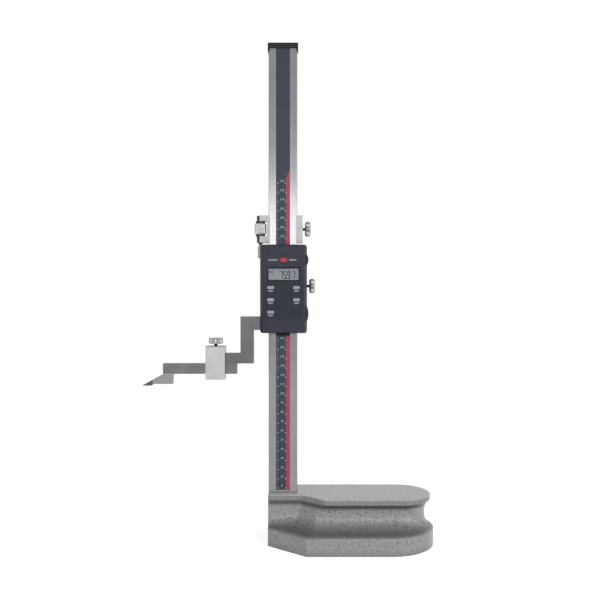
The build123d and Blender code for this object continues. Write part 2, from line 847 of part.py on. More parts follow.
with BuildPart() as display_cover:
    with BuildSketch(facing(head_rear)):
        add(head_outline(0, 0))
    extrude(amount=head_depth - bevel_depth)
    with BuildSketch(facing(bevel_y)):
        add(head_outline(0, 0))
    with BuildSketch(facing(head_front)):
        add(head_outline(bevel_side, bevel_end))
    loft()
    fillet(display_cover.faces().sort_by(Axis.Y)[0].edges(), head_front_rounding)
    # hollow, one wall thick, open towards the chassis
    inner_share = (bevel_depth - head_wall) / bevel_depth
    with BuildSketch(facing(head_rear)):
        add(head_outline(head_wall, head_wall))
    extrude(amount=head_depth - bevel_depth, mode=Mode.SUBTRACT)
    with BuildSketch(facing(bevel_y)):
        add(head_outline(head_wall, head_wall))
    with BuildSketch(facing(head_inner_front)):
        add(head_outline(head_wall + bevel_side * inner_share, head_wall + bevel_end * inner_share))
    loft(mode=Mode.SUBTRACT)
    # bosses for the cover screws and posts for the board
    with BuildSketch(facing(head_inner_front)):
        with Locations(*cover_screw_places):
            Circle(boss_radius)
    extrude(amount=head_inner_front - head_rear)
    with BuildSketch(facing(head_inner_front)):
        with Locations(*board_post_places):
            Circle(boss_radius)
    extrude(amount=head_inner_front - board_front)
    with BuildSketch(facing(head_rear)):
        with Locations(*cover_screw_places):
            Circle(cover_screw_radius + seat)
    extrude(amount=cover_screw_bite, mode=Mode.SUBTRACT)
    with BuildSketch(facing(board_front)):
        with Locations(*board_post_places):
            Circle(cover_screw_radius + seat)
    extrude(amount=(board_front - head_inner_front) * 0.8, mode=Mode.SUBTRACT)
    # openings for the bezel and the keys, and a shallow bed for the badge
    with BuildSketch(facing(head_front)):
        with Locations((lcd_x, lcd_z)):
            RectangleRounded(bezel_width + 2 * seat, bezel_height + 2 * seat, 0.6)
        with Locations(*key_places):
            RectangleRounded(key_width + 2 * glide, key_height + 2 * glide, key_corner)
    extrude(amount=-head_wall, mode=Mode.SUBTRACT)
    with BuildSketch(facing(head_front)):
        with Locations((badge_x, badge_z)):
            RectangleRounded(badge_width + 2 * seat, badge_height + 2 * seat, badge_corner)
    extrude(amount=-badge_recess, mode=Mode.SUBTRACT)
    # side openings for the battery tray and the data port
    with BuildSketch(across(wall_inner_right - head_wall)):
        with Locations(((tray_front + tray_rear) / 2, battery_z)):
            Rectangle(tray_lip_depth + 2 * glide, tray_lip_height + 2 * glide)
        with Locations(((port_front + port_rear) / 2, port_z)):
            Rectangle(port_depth + 2 * slip, port_height + 2 * slip)
    extrude(amount=3 * head_wall, mode=Mode.SUBTRACT)

display_cover.part.label = "display_cover"
export_step(display_cover.part, "parts/display_cover.step")

with BuildPart() as cover_screws:
    for screw_x, screw_z in cover_screw_places:
        screw_face = Plane((screw_x, web_rear, screw_z), x_dir=(-1, 0, 0), z_dir=(0, 1, 0))
        screw_length = frame_web + chassis_thickness + cover_screw_bite - glide
        add(countersunk_screw(screw_face, cover_screw_radius, screw_length, cover_screw_head_radius))

cover_screws.part.label = "cover_screws"
export_step(cover_screws.part, "parts/cover_screws.step")

board_left = head_left + head_wall + board_margin
board_right = head_right - head_wall - board_margin
board_bottom = head_bottom + head_wall + cover_screw_inset + boss_radius
board_top = head_top - head_wall - cover_screw_inset - boss_radius
notch_left = cell_x - cell_radius - notch_gap
notch_top = battery_z + tray_lip_height / 2 + glide + notch_roof_gap

with BuildPart() as circuit_board:
    with BuildSketch(facing(board_rear)):
        with BuildLine():
            Polyline(
                (board_left, board_bottom),
                (notch_left, board_bottom),
                (notch_left, notch_top),
                (board_right, notch_top),
                (board_right, port_z - port_height / 2 - head_wall),
                (board_right - port_plug_length, port_z - port_height / 2 - head_wall),
                (board_right - port_plug_length, board_top),
                (board_left, board_top),
                close=True,
            )
        make_face()
        with Locations(*board_post_places):
            Circle(cover_screw_radius + seat, mode=Mode.SUBTRACT)
    extrude(amount=board_thickness)

circuit_board.part.label = "circuit_board"
export_step(circuit_board.part, "parts/circuit_board.step")

with BuildPart() as board_screws:
    for screw_x, screw_z in board_post_places:
        screw_seat = Plane((screw_x, board_rear, screw_z), x_dir=(-1, 0, 0), z_dir=(0, 1, 0))
        screw_length = board_thickness + (board_front - head_inner_front) * 0.8 - glide
        add(socket_screw(screw_seat, cover_screw_radius, screw_length, cover_screw_head_radius, 1.3))

board_screws.part.label = "board_screws"
export_step(board_screws.part, "parts/board_screws.step")

with BuildPart() as sensor_board:
    sensor_rear = strip_front - sensor_gap
    with BuildSketch(facing(sensor_rear)):
        with Locations((0, sensor_z)):
            Rectangle(2 * sensor_half_width, sensor_length)
    extrude(amount=sensor_rear - web_front)

sensor_board.part.label = "sensor_board"
export_step(sensor_board.part, "parts/sensor_board.step")

with BuildPart() as sensor_header:
    with BuildSketch(facing(web_front)):
        with Locations((0, sensor_z)):
            Rectangle(sensor_half_width, header_height - 4 * glide)
    extrude(amount=web_front - board_rear)

sensor_header.part.label = "sensor_header"
export_step(sensor_header.part, "parts/sensor_header.step")

with BuildPart() as lcd_bezel:
    with BuildSketch(facing(head_inner_front)):
        with Locations((lcd_x, lcd_z)):
            RectangleRounded(bezel_width, bezel_height, 0.6)
    extrude(amount=head_wall)
    with BuildSketch(facing(head_front)):
        with Locations((lcd_x, lcd_z)):
            Rectangle(lcd_width, lcd_height)
    extrude(amount=-bezel_lip, mode=Mode.SUBTRACT)
    with BuildSketch(facing(head_front + bezel_lip)):
        with Locations((lcd_x, lcd_z)):
            Rectangle(lcd_width + 2 * bezel_ledge, lcd_height + 2 * bezel_ledge)
    extrude(amount=-head_wall, mode=Mode.SUBTRACT)

lcd_bezel.part.label = "lcd_bezel"
export_step(lcd_bezel.part, "parts/lcd_bezel.step")

with BuildPart() as lcd_window:
    with BuildSketch(facing(head_front + bezel_lip + window_thickness)):
        with Locations((lcd_x, lcd_z)):
            Rectangle(lcd_width + 2 * (bezel_ledge - seat), lcd_height + 2 * (bezel_ledge - seat))
    extrude(amount=window_thickness)

lcd_window.part.label = "lcd_window"
export_step(lcd_window.part, "parts/lcd_window.step")

with BuildPart() as lcd_panel:
    with BuildSketch(facing(head_inner_front + panel_thickness)):
        with Locations((lcd_x, lcd_z)):
            Rectangle(bezel_width + 2 * panel_border, bezel_height + 2 * panel_border)
    extrude(amount=panel_thickness)

lcd_panel.part.label = "lcd_panel"
export_step(lcd_panel.part, "parts/lcd_panel.step")

with BuildPart() as lcd_connector:
    with BuildSketch(facing(board_front)):
        with Locations((lcd_x, lcd_z - bezel_height / 2 + bezel_border)):
            Rectangle(lcd_width, 2 * bezel_border)
    extrude(amount=board_front - head_inner_front - panel_thickness)

lcd_connector.part.label = "lcd_connector"
export_step(lcd_connector.part, "parts/lcd_connector.step")

with BuildPart() as badge:
    with BuildSketch(facing(head_front + badge_recess)):
        with Locations((badge_x, badge_z)):
            RectangleRounded(badge_width, badge_height, badge_corner)
    extrude(amount=badge_thickness)
    fillet(badge.faces().sort_by(Axis.Y)[0].edges(), badge_thickness / 4)

badge.part.label = "badge"
export_step(badge.part, "parts/badge.step")

# The rubber mat lies on the board under the keys, clear of the posts.
mat_left = board_left + mat_margin
mat_right = board_right - mat_margin
mat_bottom = key_rows[2] - mat_foot
mat_top = key_rows[0] + mat_head
with BuildPart() as key_mat:
    with BuildSketch(facing(board_front)):
        with BuildLine():
            Polyline(
                (mat_left, mat_bottom),
                (notch_left - 1, mat_bottom),
                (notch_left - 1, notch_top + 1),
                (mat_right, notch_top + 1),
                (mat_right, mat_top),
                (mat_left, mat_top),
                close=True,
            )
        make_face()
    extrude(amount=mat_thickness)

key_mat.part.label = "key_mat"
export_step(key_mat.part, "parts/key_mat.step")

for key_name, key_place in zip(key_names, key_places):
    with BuildPart() as key:
        with BuildSketch(facing(head_inner_front + glide)):
            with Locations(key_place):
                RectangleRounded(key_width, key_height, key_corner - glide)
        extrude(amount=head_wall + glide + key_stand)
        fillet(key.faces().sort_by(Axis.Y)[0].edges(), key_stand / 2)
        with BuildSketch(facing(head_inner_front + glide + key_flange_thickness)):
            with Locations(key_place):
                Rectangle(key_width + 2 * key_flange_border, key_height + 2 * key_flange_border)
        extrude(amount=key_flange_thickness)
        # the stem stops one stroke short of the mat
        stem_rear = mat_front - key_travel - glide
        with BuildSketch(facing(stem_rear)):
            with Locations(key_place):
                Circle(key_height / 3)
        extrude(amount=stem_rear - head_inner_front - glide)
    key.part.label = key_name
    export_step(key.part, f"parts/{key_name}.step")

# ----------------------------------------------------- battery and data port
def bulged_lip(height, length, stand, front, depth):
    # fills its hole in the head's right wall and bulges out of it, for a thumbnail
    low, high = height - length / 2, height + length / 2
    with BuildPart(mode=Mode.PRIVATE) as lip:
        with BuildSketch(facing(front)):
            with BuildLine():
                Polyline((head_right, low), (wall_inner_right, low), (wall_inner_right, high), (head_right, high))
                ThreePointArc((head_right, high), (head_right + stand, height), (head_right, low))
            make_face()
        extrude(amount=-depth)
    return lip.part


with BuildPart() as battery_tray:
    tray_mid = (tray_front + tray_rear) / 2
    with BuildSketch(facing(tray_rear)):
        with Locations(((tray_left_x + head_right) / 2, battery_z)):
            Rectangle(head_right - tray_left_x, tray_height)
    extrude(amount=tray_lip_depth)
    with BuildSketch(facing(tray_rear)):
        with Locations((cell_x, battery_z)):
            Circle(cell_radius + slip)
    extrude(amount=tray_lip_depth - tray_floor, mode=Mode.SUBTRACT)
    add(bulged_lip(battery_z, tray_lip_height, tray_lip_stand, tray_front, tray_lip_depth))

battery_tray.part.label = "battery_tray"
export_step(battery_tray.part, "parts/battery_tray.step")

with BuildPart() as coin_cell:
    with BuildSketch(facing(cell_front + cell_thickness)):
        with Locations((cell_x, battery_z)):
            Circle(cell_radius)
    extrude(amount=cell_thickness)
    fillet(coin_cell.edges(), 0.4)

coin_cell.part.label = "coin_cell"
export_step(coin_cell.part, "parts/coin_cell.step")

with BuildPart() as battery_contacts:
    # one blade presses on the cell's back, the other faces its rim
    blade_y = cell_front + cell_thickness + 2 * slip
    blade_front = blade_y + contact_thickness
    blade_height = cell_radius * 0.7
    with BuildSketch(facing(blade_front)):
        with Locations((cell_x, battery_z)):
            Rectangle(cell_radius, blade_height)
    extrude(amount=contact_thickness)
    with BuildSketch(facing(chassis_front)):
        with Locations((cell_x + cell_radius / 2 - contact_thickness / 2, battery_z)):
            Rectangle(contact_thickness, blade_height)
    extrude(amount=chassis_front - blade_y)
    rim_blade_x = cell_x - cell_radius - 2 * slip - contact_thickness / 2
    with BuildSketch(facing(chassis_front)):
        with Locations((rim_blade_x, battery_z)):
            Rectangle(contact_thickness, blade_height)
    extrude(amount=chassis_front - cell_front - contact_thickness)

battery_contacts.part.label = "battery_contacts"
export_step(battery_contacts.part, "parts/battery_contacts.step")

with BuildPart() as data_port_cover:
    port_mid = (port_front + port_rear) / 2
    add(bulged_lip(port_z, port_height, port_stand, port_front, port_depth))
    with BuildSketch(across(wall_inner_right - port_plug_length + head_wall)):
        with Locations((port_mid, port_z)):
            Rectangle(port_depth / 2, port_height * 0.6)
    extrude(amount=port_plug_length - head_wall)

data_port_cover.part.label = "data_port_cover"
export_step(data_port_cover.part, "parts/data_port_cover.step")

with BuildPart() as data_connector:
    # a shelf on the board's edge behind the port's rubber cover
    connector_right = wall_inner_right - port_plug_length + head_wall - 2 * glide
    with BuildSketch(facing(board_front)):
        with Locations((connector_right - connector_length / 2, port_z)):
            Rectangle(connector_length, port_height * 0.6)
    extrude(amount=port_depth / 3)

data_connector.part.label = "data_connector"
export_step(data_connector.part, "parts/data_connector.step")


# ------------------------------------------------------------------ lock screws
def star_head(place, lobe_reach, lobe_radius, first_angle, rounding):
    with BuildPart() as head:
        with BuildSketch(place) as star:
            Circle(lobe_reach * 0.75)
            with PolarLocations(lobe_reach, 4, first_angle):
                Circle(lobe_radius)
            fillet(star.vertices(), lobe_radius / 4)
        extrude(amount=lock_head_thickness)
        ends = head.faces().sort_by(Axis(place.origin, place.z_dir))
        fillet(ends[0].edges() + ends[-1].edges(), rounding)
    return head.part


def lock_screw(place, shank_length, neck_length, neck_radius, head):
    # place is the inner end of the thread and its normal points to the head
    with BuildPart() as screw:
        with BuildSketch(place):
            Circle(lock_radius)
        extrude(amount=shank_length)
        with BuildSketch(place.offset(shank_length)):
            Circle(neck_radius)
        extrude(amount=neck_length + lock_head_thickness / 2)
        add(head)
    return screw.part


def lock_pad(place):
    with BuildPart() as pad:
        with BuildSketch(place):
            Circle(pad_radius)
        extrude(amount=pad_length)
        chamfer(pad.edges(), pad_length / 9)
    return pad.part


def side_place(reach, height):
    return Plane((reach, 0, height), x_dir=(0, 1, 0), z_dir=(1, 0, 0))


pad_left = column_half + slip
screw_start = pad_left + pad_length + slip

with BuildPart() as slider_lock_pad:
    add(lock_pad(side_place(pad_left, slider_lock_z)))

slider_lock_pad.part.label = "slider_lock_pad"
export_step(slider_lock_pad.part, "parts/slider_lock_pad.step")

with BuildPart() as slider_lock_screw:
    shank_length = frame_half_width - screw_start
    slider_head = star_head(
        side_place(slider_lock_head_x, slider_lock_z), lock_lobe_reach, lock_lobe_radius, 45, lock_head_rounding
    )
    neck_length = slider_lock_head_x - frame_half_width
    add(
        lock_screw(side_place(screw_start, slider_lock_z), shank_length, neck_length, lock_neck_radius, slider_head)
    )

slider_lock_screw.part.label = "slider_lock_screw"
export_step(slider_lock_screw.part, "parts/slider_lock_screw.step")

# --------------------------------------------------------- fine-adjust carriage
with BuildPart() as carriage_frame:
    with BuildSketch(level(carriage_bottom)):
        with Locations(((carriage_left + carriage_right) / 2, (carriage_front + carriage_rear) / 2)):
            Rectangle(carriage_right - carriage_left, carriage_rear - carriage_front)
        Rectangle(2 * channel_half, 2 * frame_rear, mode=Mode.SUBTRACT)
        # the front stays open between two retaining lips
        with Locations((0, (web_rear + carriage_front) / 2)):
            Rectangle(
                2 * (channel_half - carriage_lip), web_rear - carriage_front + 2 * glide, mode=Mode.SUBTRACT
            )
    extrude(amount=carriage_height)
    # two arms hold the nut on the rod
    arm_length = carriage_left + carriage_left_web / 2 - carriage_arm_x
    with BuildSketch(facing(-carriage_arm_half_depth)):
        with Locations((carriage_arm_x + arm_length / 2, carriage_bottom + carriage_lower_arm / 2)):
            Rectangle(arm_length, carriage_lower_arm)
        with Locations((carriage_arm_x + arm_length / 2, carriage_top - carriage_upper_arm / 2)):
            Rectangle(arm_length, carriage_upper_arm)
    extrude(amount=-2 * carriage_arm_half_depth)
    with BuildSketch(level(carriage_bottom)):
        with Locations((rod_x, 0)):
            Circle(rod_radius + rod_notch_clearance)
    extrude(amount=carriage_height, mode=Mode.SUBTRACT)
    with BuildSketch(across(channel_half)):
        with Locations((0, carriage_lock_z)):
            Circle(lock_bore_radius)
    extrude(amount=carriage_right_wall, mode=Mode.SUBTRACT)

carriage_frame.part.label = "carriage_frame"
export_step(carriage_frame.part, "parts/carriage_frame.step")

with BuildPart() as carriage_lock_pad:
    add(lock_pad(side_place(pad_left, carriage_lock_z)))

carriage_lock_pad.part.label = "carriage_lock_pad"
export_step(carriage_lock_pad.part, "parts/carriage_lock_pad.step")

with BuildPart() as carriage_lock_screw:
    carriage_head_x = carriage_right + carriage_lock_head_gap
    carriage_head = star_head(
        side_place(carriage_head_x, carriage_lock_z), lock_lobe_reach, lock_lobe_radius, 45, lock_head_rounding
    )
    shank_length = carriage_right - screw_start
    add(
        lock_screw(
            side_place(screw_start, carriage_lock_z),
            shank_length,
            carriage_lock_head_gap,
            lock_neck_radius,
            carriage_head,
        )
    )

carriage_lock_screw.part.label = "carriage_lock_screw"
export_step(carriage_lock_screw.part, "parts/carriage_lock_screw.step")

with BuildPart() as fine_adjust_nut:
    with BuildSketch(level(nut_bottom)):
        with Locations((rod_x, 0)):
            Circle(nut_collar_radius)
    extrude(amount=nut_top - nut_bottom)
    with BuildSketch(level(nut_bottom + nut_collar_length)):
        with Locations((rod_x, 0)):
            Circle(nut_radius)
    grip_length = nut_top - nut_bottom - 2 * nut_collar_length
    extrude(amount=grip_length)
    grip_rims = fine_adjust_nut.edges().filter_by(GeomType.CIRCLE).filter_by(
        lambda edge: abs(edge.radius - nut_radius) < seat
    )
    chamfer(grip_rims, nut_rim_chamfer)
    # straight knurl
    with BuildSketch(level(nut_bottom + nut_collar_length)):
        with Locations((rod_x, 0)):
            with PolarLocations(nut_radius, nut_grooves):
                Rectangle(2 * nut_groove_depth, 2 * nut_groove_depth, rotation=45)
    extrude(amount=grip_length, mode=Mode.SUBTRACT)
    with BuildSketch(level(nut_bottom)):
        with Locations((rod_x, 0)):
            Circle(rod_radius + slip)
    extrude(amount=nut_top - nut_bottom, mode=Mode.SUBTRACT)

fine_adjust_nut.part.label = "fine_adjust_nut"
export_step(fine_adjust_nut.part, "parts/fine_adjust_nut.step")

# ------------------------------------------------------------ scriber and clamp
with BuildPart() as scriber_clamp:
    with BuildSketch(across(clamp_x - clamp_width / 2)):
        with Locations((0, (clamp_bottom + clamp_top) / 2)):
            Rectangle(2 * clamp_half_depth, clamp_top - clamp_bottom)
        window_bottom = scriber_bottom - slip
        with Locations((0, (window_bottom + clamp_window_top) / 2)):
            Rectangle(
                column_thickness + 2 * slip, clamp_window_top - window_bottom, mode=Mode.SUBTRACT
            )
    extrude(amount=clamp_width)
    chamfer(scriber_clamp.edges().filter_by(Axis.X).filter_by(lambda edge: abs(edge.center().Y) > column_back + 1), 0.5)
    with BuildSketch(level(clamp_window_top)):
        with Locations((clamp_x, 0)):
            Circle(lock_bore_radius)
    extrude(amount=clamp_roof, mode=Mode.SUBTRACT)

scriber_clamp.part.label = "scriber_clamp"
export_step(scriber_clamp.part, "parts/scriber_clamp.step")

clamp_pad_bottom = arm_foot_top + slip
clamp_screw_bottom = clamp_pad_bottom + pad_length + slip

with BuildPart() as scriber_clamp_pad:
    add(lock_pad(Plane((clamp_x, 0, clamp_pad_bottom))))

scriber_clamp_pad.part.label = "scriber_clamp_pad"
export_step(scriber_clamp_pad.part, "parts/scriber_clamp_pad.step")

with BuildPart() as scriber_clamp_screw:
    clamp_head = star_head(
        Plane((clamp_x, 0, clamp_top + clamp_neck_length)),
        clamp_lobe_reach,
        clamp_lobe_radius,
        0,
        clamp_head_rounding,
    )
    add(
        lock_screw(
            Plane((clamp_x, 0, clamp_screw_bottom)),
            clamp_top - clamp_screw_bottom,
            clamp_neck_length,
            clamp_neck_radius,
            clamp_head,
        )
    )

scriber_clamp_screw.part.label = "scriber_clamp_screw"
export_step(scriber_clamp_screw.part, "parts/scriber_clamp_screw.step")

tip_block_bottom = rest_reading + tip_block_lift
carbide_right_x = tip_left_x + carbide_length
tip_point_z = rest_reading + tip_nose
slope_share = carbide_length / (bar_left_x - tip_left_x)
carbide_top = tip_point_z + (scriber_bottom - tip_point_z) * slope_share
with BuildPart() as scriber_bar:
    with BuildSketch(facing(column_front)):
        with BuildLine():
            Polyline(
                (bar_right_x, scriber_top),
                (bar_left_x, scriber_top),
                (bar_left_x, scriber_bottom),
                (carbide_right_x, carbide_top),
                (carbide_right_x, tip_block_bottom),
                (tip_block_right_x, tip_block_bottom),
                (tip_block_right_x, scriber_bottom),
                (bar_right_x, scriber_bottom),
                close=True,
            )
        make_face()
    extrude(amount=-column_thickness)

scriber_bar.part.label = "scriber_bar"
export_step(scriber_bar.part, "parts/scriber_bar.step")

with BuildPart() as carbide_tip:
    # the brazed tip goes on down the bar's slope to a sharp measuring edge
    with BuildSketch(facing(column_front)):
        with BuildLine():
            Polyline(
                (tip_left_x, tip_point_z),
                (tip_left_x, rest_reading),
                (carbide_right_x - carbide_heel, rest_reading),
                (carbide_right_x, tip_block_bottom),
                (carbide_right_x, carbide_top),
                close=True,
            )
        make_face()
    extrude(amount=-column_thickness)

carbide_tip.part.label = "carbide_tip"
export_step(carbide_tip.part, "parts/carbide_tip.step")
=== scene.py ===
import bpy
import json
import math
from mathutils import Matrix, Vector


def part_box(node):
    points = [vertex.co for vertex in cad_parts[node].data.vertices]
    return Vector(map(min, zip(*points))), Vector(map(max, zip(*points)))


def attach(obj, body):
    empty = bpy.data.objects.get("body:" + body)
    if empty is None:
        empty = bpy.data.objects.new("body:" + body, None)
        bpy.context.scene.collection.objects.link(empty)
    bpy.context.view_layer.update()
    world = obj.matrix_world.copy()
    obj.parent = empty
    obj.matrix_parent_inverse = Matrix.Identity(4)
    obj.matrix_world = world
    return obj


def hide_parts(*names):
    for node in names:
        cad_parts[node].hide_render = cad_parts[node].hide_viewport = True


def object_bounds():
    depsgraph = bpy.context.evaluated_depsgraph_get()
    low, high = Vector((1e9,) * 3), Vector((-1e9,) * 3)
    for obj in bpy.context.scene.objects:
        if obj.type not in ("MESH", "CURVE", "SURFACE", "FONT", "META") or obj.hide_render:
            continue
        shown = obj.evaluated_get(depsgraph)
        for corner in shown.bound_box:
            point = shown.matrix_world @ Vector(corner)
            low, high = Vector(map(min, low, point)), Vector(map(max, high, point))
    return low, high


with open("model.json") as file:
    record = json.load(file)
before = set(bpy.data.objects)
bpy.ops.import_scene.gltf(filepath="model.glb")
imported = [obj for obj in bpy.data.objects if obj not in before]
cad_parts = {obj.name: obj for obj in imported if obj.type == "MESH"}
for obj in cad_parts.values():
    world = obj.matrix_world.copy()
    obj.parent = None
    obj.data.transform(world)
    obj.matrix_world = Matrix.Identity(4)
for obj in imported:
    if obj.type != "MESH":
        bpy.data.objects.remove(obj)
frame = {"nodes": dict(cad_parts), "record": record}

cadLow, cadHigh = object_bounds()
mm = 0.001
nodes = frame["nodes"]
print("frame loaded:", len(nodes), "nodes")

# the numbers Blender gives to the sockets used most
fromLow, fromHigh, toLow, toHigh = 1, 2, 3, 4                       # Map Range
mixShare, numberA, numberB, colourA, colourB = 0, 2, 3, 6, 7        # Mix
mixedColour = 2                                                     # Mix, its colour output
axisX, axisZ = 0, 2                                                 # of a place or a box
edgeSamples = 4                                                     # of each Bevel node


def linear(code):
    # an sRGB hex colour as the linear one that shaders want, with its alpha
    channels = [int(code[i:i + 2], 16) / 255 for i in (0, 2, 4)]
    return [c / 12.92 if c <= 0.04045 else ((c + 0.055) / 1.055) ** 2.4
            for c in channels] + [1.0]


def addNode(tree, kind, values={}, links={}, **settings):
    # values and links are keyed by socket; a linked node gives its first output in use
    node = tree.nodes.new(kind)
    for name, value in settings.items():
        setattr(node, name, value)
    for key, value in values.items():
        node.inputs[key].default_value = value
    for key, source in links.items():
        if hasattr(source, "outputs"):
            source = next(output for output in source.outputs if output.enabled)
        tree.links.new(source, node.inputs[key])
    return node


def startMaterial(name, values):
    material = bpy.data.materials.new(name)
    material.use_nodes = True
    tree = material.node_tree
    shader = tree.nodes["Principled BSDF"]
    for key, value in values.items():
        shader.inputs[key].default_value = value
    place = addNode(tree, "ShaderNodeTexCoord").outputs["Object"]
    return material, tree, shader, place


def rubbedEdge(tree, widthMm):
    # 1 on an edge that hands and cloths have rubbed, 0 on the flat beside it
    untouched, rubbed = 0.99, 0.86          # cosines of how far the rounded normal turns
    rounded = addNode(tree, "ShaderNodeBevel", {"Radius": widthMm * mm}, samples=edgeSamples)
    flat = addNode(tree, "ShaderNodeNewGeometry").outputs["Normal"]
    turn = addNode(tree, "ShaderNodeVectorMath", {}, {0: rounded, 1: flat},
                   operation="DOT_PRODUCT").outputs["Value"]
    return addNode(tree, "ShaderNodeMapRange", {fromLow: untouched, fromHigh: rubbed}, {0: turn})


def finishSurface(tree, shader, relief, depthMm, edgeMm):
    # the small edge break of every real edge, with the surface's own relief over it
    rounded = addNode(tree, "ShaderNodeBevel", {"Radius": edgeMm * mm}, samples=edgeSamples)
    normal = addNode(tree, "ShaderNodeBump", {"Strength": 1.0, "Distance": depthMm * mm},
                     {"Height": relief, "Normal": rounded})
    tree.links.new(normal.outputs[0], shader.inputs["Normal"])


castingPaint = {
    "grainMm": 2.1,                           # one speck, twice as coarse as a real one
    "cloudMm": 9.0,                           # patches with more or fewer specks
    # the last grey on the next line is painted shade for the groove's foot, the area under the
    # lip and the corners
    "paint": "9a9a9a", "speck": "2e2e2f", "fleck": "bababa", "paintedShade": "4c4c4d",
    # the top's paler grey is partly its smoother satin paint and partly painted sheen of the
    # glancing light
    "top": "c2c2c2", "topWorn": "b6b6b7", "iron": "77787a",
    "topLevelMm": 52.7, "topBlendMm": 0.2,
    "soleLevelMm": 0.4, "soleBlendMm": 0.2,
    "reliefMm": 0.22, "edgeMm": 0.6, "clearCoat": 0.25,
    "grooveMm": (17.5, 24.0, 40.0, 47.0),     # the rough band: begins, full, full, ends
    "flangeRough": 0.7, "lipRough": 0.8,      # beside 1 in the groove
    "calmestPatch": 0.5,                      # beside 1 where the specks are thickest
    "fleckFrom": 0.47, "fleckFull": 0.32,     # levels of the grain's noise
    "speckFrom": 0.54, "speckFull": 0.7, "topSpeckFrom": 0.55,
    "fleckShare": 0.9, "topSpeckShare": 0.4,
    "footShadeMm": (18.2, 20.0, 30.0),           # painted shade above the flange: begins, full, gone
    "lipShadeMm": (41.0, 44.5, 46.2, 47.6),        # painted shade under the lip: begins, full, full, weaker on the rim
    # how dark the painted shade is on the groove's foot, on the lip's rim and in corners
    "footShade": 0.75, "lipRimShade": 0.3,
    "cornerMm": 14.0, "cornerShade": 0.6, "cornerSamples": 6,
    "gloss": (0.34, 0.5), "topRelief": 0.08,
}


